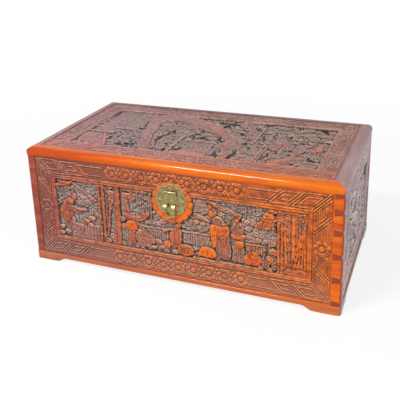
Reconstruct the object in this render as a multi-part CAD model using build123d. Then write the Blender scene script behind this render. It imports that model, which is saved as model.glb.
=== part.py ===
from build123d import *
import math
import os

# A table-top camphor wood chest: dovetailed case on a footed plinth, hinged lid,
# sunk carving fields on the front, the ends and the top, and a brass lock plate.
# Millimetres. X runs along the front, Y from front to back, Z up. The origin is on
# the table, under the middle of the whole outline, lock loops included.

# Case and lid boards
case_length = 399.0
case_depth = 220.0
board = 11.0
corner_radius = 4.5
plinth_height = 11.5
body_height = 100.8
lid_gap = 0.3
lid_height = 33.9
bottom_thickness = 7.0

# Dovetails, cut before the box was sawn into body and lid
pin_width = 5.0
pin_slope = 6.0
edge_pin = 4.5
body_pins = 3
first_body_pin = 11.5
body_pin_pitch = 28.5
lid_pin = 12.4

# Plinth with bracket feet
plinth_step = 0.5
plinth_ledge = 8.0
plinth_edge_radius = 2.0
plinth_corner_radius = 5.0
rail_height = 6.0
foot_length = 30.0
foot_curve = 16.0

# Top board and its bullnose mouldings
top_thickness = 9.5
overhang = 0.5
moulding_width = 14.0
nose_radius = 8.5
arris_radius = 0.8
top_corner_radius = 4.0
lip_thickness = 3.5
lip_seat = 2.5

# Carving: a shallow border band, a raised bead and a deep scene field
corner_strip = 12.0
edge_strip = 1.0
band_width = 22.0
top_band_width = 21.5
bead_width = 4.5
top_bead_width = 2.5
band_depth = 1.0
field_depth = 4.5
bead_depth = 0.5
near_level = 1.5
middle_level = 2.2
far_level = 3.1

# Wooden boss behind the lock
boss_radius = 26.0
boss_lobes = 16
boss_lobe_radius = 6.0
boss_drop = 4.0

# Brass lock plate, sawn in two at the lid line
plate_radius = 20.5
plate_lobes = 8
plate_lobe_radius = 9.0
plate_thickness = 0.9

# Hasp and its barrel
hasp_axis_rise = 10.1
barrel_radius = 1.5
barrel_gap = 0.3
knuckle_gap = 0.3
hasp_knuckle = 7.0
plate_knuckle = 3.4
hasp_pin_radius = 0.7
hasp_pin_head = 1.1
hasp_pin_head_length = 0.4
hasp_thickness = 1.0
hasp_clearance = 0.4
hasp_shield_width = 16.0
hasp_shield_radius = 3.0
shield_above_loops = 0.6
hasp_tip_radius = 6.0
hasp_lip_width = 2.4
hasp_lip_reach = 2.2
hasp_tip_drop = 21.8
tongue_clearance = 0.4

# Lock loops, split pins clenched inside the case
loop_spacing = 10.6
loop_drop = 6.5
loop_width = 4.4
loop_height = 5.0
loop_reach = 7.5
loop_eye_radius = 1.4
loop_rounding = 2.9
loop_shank_radius = 1.1
loop_leg = 5.0
loop_leg_thickness = 0.8

# Butt hinges let into the back boards, with bevels as the lid's stop
hinge_spread = 250.0
hinge_length = 38.0
hinge_inset = 2.5
hinge_barrel_radius = 2.2
hinge_leaf_thickness = 1.1
hinge_leaf_setback = 1.0
hinge_pin_radius = 1.1
hinge_pin_head = 1.7
hinge_pin_head_length = 0.6
hinge_recess_clearance = 0.3
hinge_recess_end = 1.0
stop_bevel = 51.0

# Screws and nails
screw_spread = 26.0
screw_head_radius = 1.5
screw_head_length = 0.6
screw_shank_radius = 0.9
screw_length = 8.0
nail_head_radius = 1.0
nail_head_height = 0.5
nail_shank_radius = 0.5
nail_length = 6.0
nail_circle = 15.2
nail_angles = (90, 14, 166, -14, -166, -58, -122)
fastener_sides = 8
fit = 0.05

# Heights that the pieces share
lid_line = plinth_height + body_height
lid_base = lid_line + lid_gap
lid_top = lid_base + lid_height
chest_top = lid_top + top_thickness
half_length = case_length / 2
half_depth = case_depth / 2
inner_length = half_length - board
inner_depth = half_depth - board
hinge_y = half_depth - hinge_inset
hinge_z = lid_line + lid_gap / 2
plate_face = -half_depth - plate_thickness
hasp_y = plate_face - barrel_radius - barrel_gap
hasp_z = lid_line + hasp_axis_rise
loop_z = lid_line - loop_drop
screw_y = hinge_y - (board - hinge_leaf_setback - hinge_inset + hinge_barrel_radius) / 2
outline_shift = (plate_thickness + loop_reach - overhang) / 2

FRONT = Plane(origin=(0, -half_depth, 0), x_dir=(1, 0, 0), z_dir=(0, -1, 0))
RIGHT = Plane(origin=(half_length, 0, 0), x_dir=(0, 1, 0), z_dir=(1, 0, 0))
LEFT = Plane(origin=(-half_length, 0, 0), x_dir=(0, -1, 0), z_dir=(-1, 0, 0))
TOP = Plane(origin=(0, 0, chest_top), x_dir=(1, 0, 0), z_dir=(0, 0, 1))


def block(x_low, x_high, y_low, y_high, z_low, z_high):
    """A square block between two corners."""
    middle = ((x_low + x_high) / 2, (y_low + y_high) / 2, (z_low + z_high) / 2)
    return Pos(*middle) * Box(x_high - x_low, y_high - y_low, z_high - z_low)


def rod(radius, start, length, axis):
    """A round rod along +X or +Y or +Z from its start point."""
    return extrude(Plane(origin=start, z_dir=axis) * Circle(radius), length)


def small_rod(radius, start, length, axis):
    """A rod for a small fastener or its hole, with few sides."""
    sides = RegularPolygon(radius, fastener_sides)
    return extrude(Plane(origin=start, z_dir=axis) * sides, length)


def rounded_plan(half_x, half_y, radius):
    """An upright prism with the chest's rounded corners, to trim pieces with."""
    plan = RectangleRounded(2 * half_x, 2 * half_y, radius)
    return extrude(plan, chest_top)


def scalloped(radius, lobes, lobe_radius):
    """A flower outline: round lobes set evenly about a centre."""
    middle = radius - lobe_radius
    flower = Circle(middle)
    for number in range(lobes):
        angle = math.radians(360 * number / lobes)
        flower += Pos(middle * math.cos(angle), middle * math.sin(angle)) * Circle(lobe_radius)
    return flower


def frame_rectangle(x_low, x_high, y_low, y_high):
    """A flat rectangle between two corners."""
    centre = Pos((x_low + x_high) / 2, (y_low + y_high) / 2)
    return centre * Rectangle(x_high - x_low, y_high - y_low)


# Carving
def carving_cut(face, reach, low, high, side_strip, end_strip, band, bead):
    """What the carver cuts away: a shallow band round a bead round a deep field."""
    left, right = -reach + side_strip, reach - side_strip
    bottom, top = low + end_strip, high - end_strip

    def inset(amount):
        return frame_rectangle(left + amount, right - amount, bottom + amount, top - amount)

    band_ring = inset(0) - inset(band)
    bead_ring = inset(band) - inset(band + bead)
    cut = extrude(face * band_ring, -band_depth)
    cut += extrude(face * bead_ring, -bead_depth)
    return cut + extrude(face * inset(band + bead), -field_depth)


def shape(*corners):
    """A flat straight-sided outline through its corners."""
    return make_face(Polyline(*corners, close=True))


def mass(x, y, width, height):
    """A six-sided outline, for a bush, a rock or a rounded bundle."""
    side, shoulder, half = width / 2, width / 4, height / 2
    return Pos(x, y) * shape(
        (-side, 0), (-shoulder, half), (shoulder, half), (side, 0), (shoulder, -half), (-shoulder, -half)
    )


def bar(start, end, width):
    """A straight outline of even width between two points, for a post or a bough."""
    run = Vector(*end) - Vector(*start)
    middle = Pos((start[0] + end[0]) / 2, (start[1] + end[1]) / 2)
    turn = Rot(0, 0, math.degrees(math.atan2(run.Y, run.X)))
    return middle * turn * Rectangle(run.length, width)


def standing(face, outline, level):
    """A form of a scene left standing in the sunk field, up to a level below the face."""
    return extrude(face.offset(-level) * outline, level - field_depth)


def front_forms():
    """The main forms of the front scene, from the left, with heights above its field."""
    near, middle, far = near_level, middle_level, far_level
    traveller = shape((-146, 51), (-154, 39), (-156, 28), (-151, 23), (-142, 28), (-140, 43))
    branch = shape((-64, 41), (-61, 45), (-47, 42), (-33, 49), (-37, 42), (-47, 38.5), (-60, 40))
    player = shape((-2, 32), (5, 34), (9, 25), (8, 13), (0, 12), (-4, 25))
    elder = shape((50, 48), (69, 48), (70, 31), (69, 8), (57, 8), (53, 21), (48, 29))
    second_elder = shape((75, 53), (80, 55), (86, 52), (87, 38), (86, 7), (76, 7), (74, 38))
    pine = shape((104, 54.5), (112, 71), (120, 71), (123, 61), (121, 54.5))
    return [
        (traveller, near),
        (bar((-136, 74.5), (-110, 58), 3), middle),
        (frame_rectangle(-142, -102, -1, 18.5), far),
        (bar((-99, -1), (-99, 81), 2.2), near),
        (bar((-93.6, -1), (-93.6, 81), 2.8), near),
        (bar((-73.6, 3), (-73.6, 81), 4), near),
        (mass(-83, 63, 7, 17), middle),
        (branch, near),
        (bar((-62, 63), (-61, 44), 3.5), near),
        (mass(-58.5, 68.5, 15, 6), middle),
        (mass(-55, 30.5, 13, 10), near),
        (frame_rectangle(-59, -52.5, 8, 25), near),
        (shape((-50, 21), (-44, 22), (-31, 4), (-44, 5)), middle),
        (frame_rectangle(-40, -9, 17, 31), far),
        (player, near),
        (mass(14.5, 9, 17, 10), near),
        (frame_rectangle(14, 44, 18, 32), far),
        (mass(42.5, 11, 18, 10), near),
        (elder, near),
        (mass(56, 53, 9, 8), near),
        (second_elder, middle),
        (bar((43, 77), (80, 65), 3), middle),
        (mass(98.5, 13.5, 18, 14), near),
        (pine, near),
        (mass(120, 20, 7, 16), middle),
        (bar((128.2, 8), (128.2, 64), 1.6), near),
        (bar((145.2, 22), (145.2, 73), 2.6), near),
        (mass(134, 73, 13, 9), middle),
        (mass(149, 4, 22, 5), middle),
    ]


def top_forms():
    """The main forms of the scene on the lid's top, about the panel's middle."""
    near, middle, far = near_level, middle_level, far_level
    arch = shape(
        (-98, 55), (-84, 63), (-66, 68), (-46, 69), (-27, 64), (-13, 52), (19, 30), (34, 12),
        (44, -5), (50, -30), (51, -66), (41, -66), (38, -20), (28, 2), (10, 14), (-8, 24),
        (-22, 41), (-38, 51), (-56, 54), (-74, 50), (-80, 25), (-72, -10), (-58, -56),
        (-67, -58), (-84, -10), (-92, 26),
    )
    return [
        (arch, near),
        (frame_rectangle(-154, -102, 2, 68), far),
        (frame_rectangle(-156, -122, -21, -6), middle),
        (shape((-155, -30), (-132, -30), (-117, -61), (-155, -61)), middle),
        (frame_rectangle(-9, 20, -56, -24), far),
        (frame_rectangle(-20, 24, -70, -61), near),
        (mass(-58, 17, 22, 14), middle),
        (mass(-38, 30, 24, 11), middle),
        (mass(112, -5, 14, 26), middle),
        (shape((103, -65), (134, -43), (138, -49), (113, -69)), near),
        (mass(148, -61, 22, 14), middle),
        (mass(88, 52, 30, 14), far),
        (mass(130, 48, 26, 14), far),
        (mass(70, -38, 20, 20), far),
    ]


def boss_prism(depth):
    """The scalloped wooden boss that stays at the board's face behind the lock."""
    spot = FRONT * Pos(0, lid_line - boss_drop)
    return extrude(spot * scalloped(boss_radius, boss_lobes, boss_lobe_radius), -depth)


def upright_carving(face, reach):
    """The cut on the front or on one end of the chest."""
    return carving_cut(
        face, reach, plinth_height, lid_top, corner_strip, edge_strip, band_width, bead_width
    )


def front_carving():
    """The front's cut, with its scene and its boss left standing."""
    cut = upright_carving(FRONT, half_length) - boss_prism(field_depth)
    field_bottom = plinth_height + edge_strip + band_width + bead_width
    for outline, level in front_forms():
        cut -= standing(FRONT, Pos(0, field_bottom) * outline, level)
    return cut


# Dovetails
def pin_prism(height, half_width):
    """One dovetail pin at the right front corner, as wide as its end on the face."""
    flare = board / pin_slope
    outline = Polyline(
        (half_length, height - half_width),
        (half_length, height + half_width),
        (inner_length, height + half_width + flare),
        (inner_length, height - half_width - flare),
        close=True,
    )
    return extrude(Plane.XZ * make_face(outline), half_depth) - block(
        0, case_length, -inner_depth, inner_depth, 0, chest_top
    )


def corner_pins(heights, low, high):
    """The pins of all four corners within one ring of boards."""
    trim = block(-case_length, case_length, -case_depth, case_depth, low, high)
    pins = []
    for height, half_width in heights:
        right_front = pin_prism(height, half_width) & trim
        right_back = mirror(right_front, Plane.XZ)
        for pin in (right_front, right_back):
            pins.append(pin)
            pins.append(mirror(pin, Plane.YZ))
    return pins


def ring_of_boards(low, high, heights, carving):
    """Front, back, left and right boards between two heights, dovetailed and carved."""
    pins = corner_pins(heights, low, high)
    front = block(-half_length, half_length, -half_depth, -inner_depth, low, high)
    back = block(-half_length, half_length, inner_depth, half_depth, low, high)
    left = block(-half_length, -inner_length, -inner_depth, inner_depth, low, high)
    right = block(inner_length, half_length, -inner_depth, inner_depth, low, high)
    for pin in pins:
        where = pin.center()
        if where.Y < 0:
            front -= pin
        else:
            back -= pin
        if where.X < 0:
            left += pin
        else:
            right += pin
    plan = rounded_plan(half_length, half_depth, corner_radius)
    boards = []
    for solid in (front, back, left, right):
        solid = solid & plan
        for cut in carving:
            solid -= cut
        boards.append(solid)
    return boards


# Mitred frames: the plinth and the mouldings of the top
def mitred_side(section, half_run, half_across, width):
    """A length of moulding facing -Y, mitred at both ends."""
    bar = extrude(Plane.YZ * section, half_run, both=True)
    corners = Polyline(
        (-half_run, -half_across),
        (half_run, -half_across),
        (half_run - width, -half_across + width),
        (-half_run + width, -half_across + width),
        close=True,
    )
    return bar & extrude(make_face(corners), chest_top)


def four_sides(section_at, half_x, half_y, width):
    """The four mitred sides of a frame, in the order front, right, back, left."""
    sides = []
    for turn in range(4):
        half_run, half_across = (half_x, half_y) if turn % 2 == 0 else (half_y, half_x)
        piece = mitred_side(section_at(half_across), half_run, half_across, width)
        sides.append(Rot(0, 0, 90 * turn) * piece)
    return sides


def plinth_section(half_across):
    """The plinth's square section, with its upper outer edge rounded off."""
    width = plinth_step + board + plinth_ledge
    square = frame_rectangle(-half_across, -half_across + width, 0, plinth_height)
    upper_outer = square.vertices().sort_by(Axis.X)[:2].sort_by(Axis.Y)[-1]
    return fillet(upper_outer, plinth_edge_radius)


def foot_arch(half_run):
    """The space between two bracket feet, with an S curve at each end."""
    drop = plinth_height - rail_height
    toe = half_run - foot_length
    heel = toe - foot_curve
    turn = ((toe + heel) / 2, drop / 2)
    lower = TangentArc((toe, 0), turn, tangent=(-1, 0))
    upper = TangentArc((heel, drop), turn, tangent=(1, 0))
    half = Curve() + [lower, upper, Line((heel, drop), (0, drop)), Line((toe, 0), (0, 0))]
    outline = half + mirror(half, Plane.YZ)
    return make_face(Plane.XZ * outline)


def plinth():
    """The four footed sides under the case."""
    half_x = half_length + plinth_step
    half_y = half_depth + plinth_step
    width = plinth_step + board + plinth_ledge
    plan = rounded_plan(half_x, half_y, plinth_corner_radius)
    sides = []
    for turn, side in enumerate(four_sides(plinth_section, half_x, half_y, width)):
        half_run = half_x if turn % 2 == 0 else half_y
        arch = extrude(foot_arch(half_run), case_length, both=True)
        sides.append((side & plan) - Rot(0, 0, 90 * turn) * arch)
    return sides


def nosing_section(half_across):
    """A moulding with a broad quarter-round nose, rebated under its inner edge."""
    square = frame_rectangle(-half_across, -half_across + moulding_width, lid_top, chest_top)
    lower_outer, upper_outer = square.vertices().sort_by(Axis.X)[:2].sort_by(Axis.Y)
    nosed = fillet(upper_outer, nose_radius)
    rounded = fillet(nosed.vertices().sort_by_distance(lower_outer)[0], arris_radius)
    lip_start = -half_across + overhang + board - lip_seat
    return rounded - frame_rectangle(
        lip_start, -half_across + moulding_width, lid_top, lid_top + lip_thickness
    )


def top_mouldings():
    """The round-nosed mouldings about the top board."""
    half_x = half_length + overhang
    half_y = half_depth + overhang
    plan = rounded_plan(half_x, half_y, top_corner_radius)
    return [side & plan for side in four_sides(nosing_section, half_x, half_y, moulding_width)]


def top_panel():
    """The carved top board, whose lip runs under the mouldings onto the boards."""
    half_x = half_length + overhang - moulding_width
    half_y = half_depth + overhang - moulding_width
    lip_x = inner_length + lip_seat
    lip_y = inner_depth + lip_seat
    panel = block(-half_x, half_x, -half_y, half_y, lid_top, chest_top)
    panel += block(-lip_x, lip_x, -lip_y, lip_y, lid_top, lid_top + lip_thickness)
    cut = carving_cut(TOP, half_x, -half_y, half_y, 0, 0, top_band_width, top_bead_width)
    for outline, level in top_forms():
        cut -= standing(TOP, outline, level)
    return panel - cut


# Hinges
def hinge_places():
    """Where the two hinges stand along the back."""
    return (-hinge_spread / 2, hinge_spread / 2)


def stop_wedge(upward):
    """The bevel along a back edge: body and lid bevels meet when the lid is open."""
    run = 2 * hinge_inset
    rise = run * math.tan(math.radians(stop_bevel))
    outer = hinge_z + rise if upward else hinge_z - rise
    outline = Polyline(
        (hinge_y, hinge_z), (hinge_y + run, hinge_z), (hinge_y + run, outer), close=True
    )
    return extrude(Plane.YZ * make_face(outline), case_length, both=True)


def hinge_mortise(place, low, high):
    """The pocket for a leaf and the round channel for its barrel."""
    leaf_edge = inner_depth + hinge_leaf_setback
    reach = hinge_length / 2
    pocket = block(place - reach, place + reach, leaf_edge, hinge_y, low, high)
    channel_reach = reach + hinge_recess_end
    channel = rod(
        hinge_barrel_radius + hinge_recess_clearance,
        (place - channel_reach, hinge_y, hinge_z),
        2 * channel_reach,
        (1, 0, 0),
    )
    return pocket + channel


def hinge_leaf(place, low, high, on_lid):
    """One leaf with its knuckles: two at the ends on the body, one between on the lid."""
    reach = hinge_length / 2
    knuckle = (hinge_length - 2 * knuckle_gap) / 3
    inner = knuckle / 2
    outer = inner + knuckle_gap
    own = [(-inner, inner)] if on_lid else [(-reach, -outer), (outer, reach)]
    others = [(-reach, -inner), (inner, reach)] if on_lid else [(-outer, outer)]
    leaf = block(place - reach, place + reach, inner_depth + hinge_leaf_setback, hinge_y, low, high)
    for start, end in others:
        leaf -= rod(
            hinge_barrel_radius + hinge_recess_clearance,
            (place + start, hinge_y, hinge_z),
            end - start,
            (1, 0, 0),
        )
    for start, end in own:
        leaf += rod(hinge_barrel_radius, (place + start, hinge_y, hinge_z), end - start, (1, 0, 0))
    leaf -= rod(
        hinge_pin_radius + fit, (place - reach, hinge_y, hinge_z), hinge_length, (1, 0, 0)
    )
    for across in screw_places(place):
        head_low = high - screw_head_length if not on_lid else low
        leaf -= small_rod(
            screw_head_radius + fit, (across, screw_y, head_low), screw_head_length, (0, 0, 1)
        )
        leaf -= small_rod(screw_shank_radius + fit, (across, screw_y, low), high - low, (0, 0, 1))
    return leaf


def hinge_pin(place):
    """A headed pin through the knuckles of one hinge."""
    reach = hinge_length / 2
    pin = rod(hinge_pin_radius, (place - reach, hinge_y, hinge_z), hinge_length, (1, 0, 0))
    for start in (place - reach - hinge_pin_head_length, place + reach):
        spot = (start, hinge_y, hinge_z)
        pin += small_rod(hinge_pin_head, spot, hinge_pin_head_length, (1, 0, 0))
    return pin


def screw_places(place):
    """Where one leaf's screws stand along the back."""
    return (place - screw_spread / 2, place + screw_spread / 2)


def hinge_screws(face, on_lid):
    """All the screws of one body's leaves, driven away from the lid line."""
    inward = 1 if on_lid else -1
    screws = []
    for place in hinge_places():
        for across in screw_places(place):
            spot = (across, screw_y, face)
            head = small_rod(screw_head_radius, spot, screw_head_length, (0, 0, inward))
            shank = small_rod(screw_shank_radius, spot, screw_length, (0, 0, inward))
            screws.append(head + shank)
    return screws


def screw_holes(face, on_lid):
    """Pilot holes in a back board for the hinge screws."""
    inward = 1 if on_lid else -1
    return [
        small_rod(screw_shank_radius + fit, (across, screw_y, face), screw_length, (0, 0, inward))
        for place in hinge_places()
        for across in screw_places(place)
    ]


# Lock
def plate_half(low, high):
    """Half of the lobed plate, between two heights."""
    spot = FRONT * Pos(0, lid_line)
    flower = extrude(spot * scalloped(plate_radius, plate_lobes, plate_lobe_radius), plate_thickness)
    return flower & block(-half_length, half_length, -case_depth, 0, low, high)


def loop_places():
    """Where the two lock loops stand along the front."""
    return (-loop_spacing / 2, loop_spacing / 2)


def nail_spots():
    """Each plate nail's place across and up the front."""
    spots = []
    for angle in nail_angles:
        turn = math.radians(angle)
        spots.append((nail_circle * math.cos(turn), lid_line + nail_circle * math.sin(turn)))
    return spots


def nail_shank(across, up, room):
    """A square nail shank, or its hole, from the plate's face into the boards."""
    side = 2 * (nail_shank_radius + room)
    face = Plane(origin=(across, plate_face, up), z_dir=(0, 1, 0))
    return extrude(face * Rectangle(side, side), nail_length)


def plate_nails(on_lid):
    """Cut nails with low flat heads through one half of the plate."""
    nails = []
    for across, up in nail_spots():
        if (up > lid_line) == on_lid:
            face = Plane(origin=(across, plate_face, up), z_dir=(0, -1, 0))
            rim = RegularPolygon(nail_head_radius, fastener_sides)
            head = extrude(face * rim, nail_head_height)
            nails.append(head + nail_shank(across, up, 0))
    return nails


def nail_holes():
    """Holes for the plate nails through the plate and into the boards."""
    return [nail_shank(across, up, fit) for across, up in nail_spots()]


def shank_holes():
    """Holes for the loops' split pins, through the plate and the front board."""
    through = plate_thickness + board
    return [
        small_rod(loop_shank_radius + fit, (across, plate_face, loop_z), through, (0, 1, 0))
        for across in loop_places()
    ]


def upper_plate():
    """The lid's half of the plate, with two knuckles for the hasp's barrel."""
    plate = plate_half(lid_base, chest_top)
    start = hasp_knuckle / 2 + knuckle_gap
    for low in (-start - plate_knuckle, start):
        knuckle = rod(barrel_radius, (low, hasp_y, hasp_z), plate_knuckle, (1, 0, 0))
        knuckle += block(
            low, low + plate_knuckle, hasp_y, plate_face, hasp_z, hasp_z + barrel_radius
        )
        plate += knuckle
    for hole in nail_holes():
        plate -= hole
    bore_start = start + plate_knuckle
    return plate - rod(
        hasp_pin_radius + fit, (-bore_start, hasp_y, hasp_z), 2 * bore_start, (1, 0, 0)
    )


def lower_plate():
    """The case's half of the plate."""
    plate = plate_half(0, lid_line)
    for hole in nail_holes() + shank_holes():
        plate -= hole
    return plate


def lock_loop(across):
    """One loop: a rounded eye in front, a shank and two clenched legs inside."""
    nose = loop_height / 2
    straight = loop_reach - nose
    eye_y = plate_face - straight
    eye_outline = frame_rectangle(eye_y, plate_face, loop_z - nose, loop_z + nose)
    eye_outline += Pos(eye_y, loop_z) * Circle(nose)
    eye_outline -= Pos(eye_y, loop_z) * Circle(loop_eye_radius)
    side = Plane.YZ.offset(across)
    loop = extrude(side * eye_outline, loop_width / 2, both=True)
    loop &= rod(loop_rounding, (across, plate_face - loop_reach, loop_z), loop_reach, (0, 1, 0))
    loop += small_rod(
        loop_shank_radius, (across, plate_face, loop_z), plate_thickness + board, (0, 1, 0)
    )
    return loop + block(
        across - loop_shank_radius, across + loop_shank_radius,
        -inner_depth, -inner_depth + loop_leg_thickness,
        loop_z - loop_leg, loop_z + loop_leg,
    )


def hasp():
    """The hasp: knuckle, shield, tongue between the loops and a crescent finger lift."""
    back = plate_face - hasp_clearance
    tongue = (loop_spacing - loop_width) / 2 - tongue_clearance
    shield_low = loop_z + loop_height / 2 + shield_above_loops
    shield_high = hasp_z - barrel_radius - knuckle_gap
    tip_z = lid_line - hasp_tip_drop + hasp_tip_radius
    shield = Pos(0, (shield_low + shield_high) / 2) * RectangleRounded(
        hasp_shield_width, shield_high - shield_low, hasp_shield_radius
    )
    neck = frame_rectangle(-hasp_knuckle / 2, hasp_knuckle / 2, shield_low, hasp_z)
    blade = frame_rectangle(-tongue, tongue, tip_z, shield_low + hasp_shield_radius)
    tip = Pos(0, tip_z) * Circle(hasp_tip_radius)
    sheet = Plane(origin=(0, back, 0), x_dir=(1, 0, 0), z_dir=(0, -1, 0))
    leaf = extrude(sheet * (shield + neck + blade + tip), hasp_thickness)
    leaf += extrude(sheet * (tip - Pos(0, hasp_lip_width) * tip), hasp_thickness + hasp_lip_reach)
    leaf += rod(barrel_radius, (-hasp_knuckle / 2, hasp_y, hasp_z), hasp_knuckle, (1, 0, 0))
    return leaf - rod(
        hasp_pin_radius + fit, (-hasp_knuckle / 2, hasp_y, hasp_z), hasp_knuckle, (1, 0, 0)
    )


def hasp_pin():
    """The headed pin through the hasp's barrel."""
    reach = hasp_knuckle / 2 + knuckle_gap + plate_knuckle
    pin = rod(hasp_pin_radius, (-reach, hasp_y, hasp_z), 2 * reach, (1, 0, 0))
    for start in (-reach - hasp_pin_head_length, reach):
        spot = (start, hasp_y, hasp_z)
        pin += small_rod(hasp_pin_head, spot, hasp_pin_head_length, (1, 0, 0))
    return pin


# Boards cut for the metalwork
def body_pin_heights():
    """Centre height and half width of each pin in the body's corners."""
    heights = [(plinth_height, edge_pin)]
    for number in range(body_pins):
        height = lid_line - first_body_pin - number * body_pin_pitch
        heights.append((height, pin_width / 2))
    return heights


def lid_pin_heights():
    """Centre height and half width of each pin in the lid's corners."""
    return [(lid_top, edge_pin), (lid_base + lid_pin, pin_width / 2)]


def body_boards(carving):
    """The case's four boards."""
    heights = body_pin_heights()
    front, back, left, right = ring_of_boards(plinth_height, lid_line, heights, carving)
    for hole in nail_holes() + shank_holes():
        front -= hole
    back -= stop_wedge(upward=False)
    for place in hinge_places():
        back -= hinge_mortise(place, lid_line - hinge_leaf_thickness, lid_line)
    for hole in screw_holes(lid_line, on_lid=False):
        back -= hole
    return front, back, left, right


def lid_boards(carving):
    """The lid's four boards."""
    heights = lid_pin_heights()
    front, back, left, right = ring_of_boards(lid_base, lid_top, heights, carving)
    for hole in nail_holes():
        front -= hole
    back -= stop_wedge(upward=True)
    for place in hinge_places():
        back -= hinge_mortise(place, lid_base, lid_base + hinge_leaf_thickness)
    for hole in screw_holes(lid_base, on_lid=True):
        back -= hole
    return front, back, left, right


def bottom_board():
    """The board inside the case that rests on the plinth's ledge."""
    return block(
        -inner_length, inner_length, -inner_depth, inner_depth,
        plinth_height, plinth_height + bottom_thickness,
    )


def all_pieces():
    """Every named piece of the chest."""
    pieces = {"bottom_board": bottom_board(), "lid_top_panel": top_panel()}
    ends = [upright_carving(face, half_depth) for face in (LEFT, RIGHT)]
    carving = [front_carving(), *ends]
    for name, solid in zip(("front", "back", "left", "right"), body_boards(carving)):
        pieces[f"{name}_board"] = solid
    for name, solid in zip(("front", "back", "left", "right"), lid_boards(carving)):
        pieces[f"lid_{name}_board"] = solid
    for name, solid in zip(("front", "right", "back", "left"), plinth()):
        pieces[f"plinth_{name}"] = solid
    for name, solid in zip(("front", "right", "back", "left"), top_mouldings()):
        pieces[f"lid_moulding_{name}"] = solid
    for name, place in zip(("left", "right"), hinge_places()):
        body_low = lid_line - hinge_leaf_thickness
        lid_high = lid_base + hinge_leaf_thickness
        pieces[f"body_hinge_leaf_{name}"] = hinge_leaf(place, body_low, lid_line, on_lid=False)
        pieces[f"lid_hinge_leaf_{name}"] = hinge_leaf(place, lid_base, lid_high, on_lid=True)
        pieces[f"hinge_pin_{name}"] = hinge_pin(place)
    for name, across in zip(("left", "right"), loop_places()):
        pieces[f"lock_loop_{name}"] = lock_loop(across)
    pieces["body_hinge_screws"] = Compound(hinge_screws(lid_line, on_lid=False))
    pieces["lid_hinge_screws"] = Compound(hinge_screws(lid_base, on_lid=True))
    pieces["lock_plate_lower"] = lower_plate()
    pieces["lock_plate_upper"] = upper_plate()
    pieces["lower_plate_nails"] = Compound(plate_nails(on_lid=False))
    pieces["upper_plate_nails"] = Compound(plate_nails(on_lid=True))
    pieces["hasp"] = hasp()
    pieces["hasp_pin"] = hasp_pin()
    return pieces


os.makedirs("parts", exist_ok=True)
for piece_name, piece in all_pieces().items():
    export_step(Pos(0, outline_shift, 0) * piece, f"parts/{piece_name}.step")
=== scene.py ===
import math

import bpy
import numpy as np
from mathutils import Matrix, Vector
from mathutils.bvhtree import BVHTree


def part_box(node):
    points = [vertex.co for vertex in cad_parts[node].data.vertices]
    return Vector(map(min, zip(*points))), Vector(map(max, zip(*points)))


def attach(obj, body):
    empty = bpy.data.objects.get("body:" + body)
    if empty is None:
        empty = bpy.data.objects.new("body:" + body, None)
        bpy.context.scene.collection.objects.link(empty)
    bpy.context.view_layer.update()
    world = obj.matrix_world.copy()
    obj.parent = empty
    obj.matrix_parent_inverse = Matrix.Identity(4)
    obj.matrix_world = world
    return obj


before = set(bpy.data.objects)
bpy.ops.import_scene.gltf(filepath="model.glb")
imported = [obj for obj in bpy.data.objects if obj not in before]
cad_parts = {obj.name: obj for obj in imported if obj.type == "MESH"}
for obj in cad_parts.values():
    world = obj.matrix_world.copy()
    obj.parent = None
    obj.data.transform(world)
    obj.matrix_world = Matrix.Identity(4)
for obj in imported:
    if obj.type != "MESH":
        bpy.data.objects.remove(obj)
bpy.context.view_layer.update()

# The looks of a carved camphor wood chest: relief carving on the front, the ends and
# the lid, stained and lacquered wood, bare wood inside and aged brass on the lock.
# Carving is drawn in millimetres on each face: u to the right, v up, height outwards.

MM = 0.001
chance = np.random.default_rng(7)

# Layout of the carving, as the boards are cut for it
corner_strip = 12.0
edge_strip = 1.0
band_width = 22.0
top_band_width = 21.5
bead_width = 4.5
top_bead_width = 2.5
moulding_width = 14.0
boss_radius = 26.0
boss_lobes = 16
boss_lobe_radius = 6.0
boss_drop = 4.0
plate_radius = 20.5
plate_lobes = 8
plate_lobe_radius = 9.0
plate_thickness = 0.9
board_thickness = 11.0
inside_margin = 0.3

# Levels from the board's face, and the width of the groove about a raised form
BAND_GROUND = -0.93
BEAD_GROUND = -0.44
FLOOR = -4.42
FAR = -3.0
MID = -1.6
NEAR = -0.4
GROOVE = 1.0

# Rosettes: shifts of the upper and the lower row, how many in each and their pitch
front_rosettes = ((0.9, 4.7), 9, 19.85)
end_rosettes = ((0, 0), 3, 19.85)
top_rosettes = ((0, 0), 9, 18.5)
upright_side_rosettes = (1, 19)
top_side_rosettes = (3, 17)

# Size of a cell of each carved surface, and how it sits on its board
front_cell = 0.51
end_cell = 0.68
top_cell = 0.7
plate_cell = 0.25
rim_slack = 0.06
bead_clearance = 0.15
border_back = -1.5
scene_back = -5.0
plate_back = -0.2


def node_box(name):
    """A CAD node's lowest and highest corners, in millimetres."""
    low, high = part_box(name)
    return [value / MM for value in low], [value / MM for value in high]


front_low, front_high = node_box("front_board")
lid_low, lid_high = node_box("lid_front_board")
moulding_low, moulding_high = node_box("lid_moulding_front")

half_length = front_high[0]
front_face = front_low[1]
back_face = node_box("back_board")[1][1]
middle_depth = (front_face + back_face) / 2
half_depth = (back_face - front_face) / 2
inner_length = half_length - board_thickness + inside_margin
inner_depth = half_depth - board_thickness + inside_margin
case_bottom = front_low[2]
lid_line = front_high[2]
lid_base = lid_low[2]
lid_top = lid_high[2]
chest_top = moulding_high[2]
half_trim_depth = (node_box("lid_moulding_back")[1][1] - moulding_low[1]) / 2


# Shapes: each is its bounds and a signed distance, negative inside
def disc(x, y, radius):
    """A circle about a middle."""
    bounds = (x - radius, x + radius, y - radius, y + radius)
    return bounds, lambda u, v: np.hypot(u - x, v - y) - radius


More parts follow.
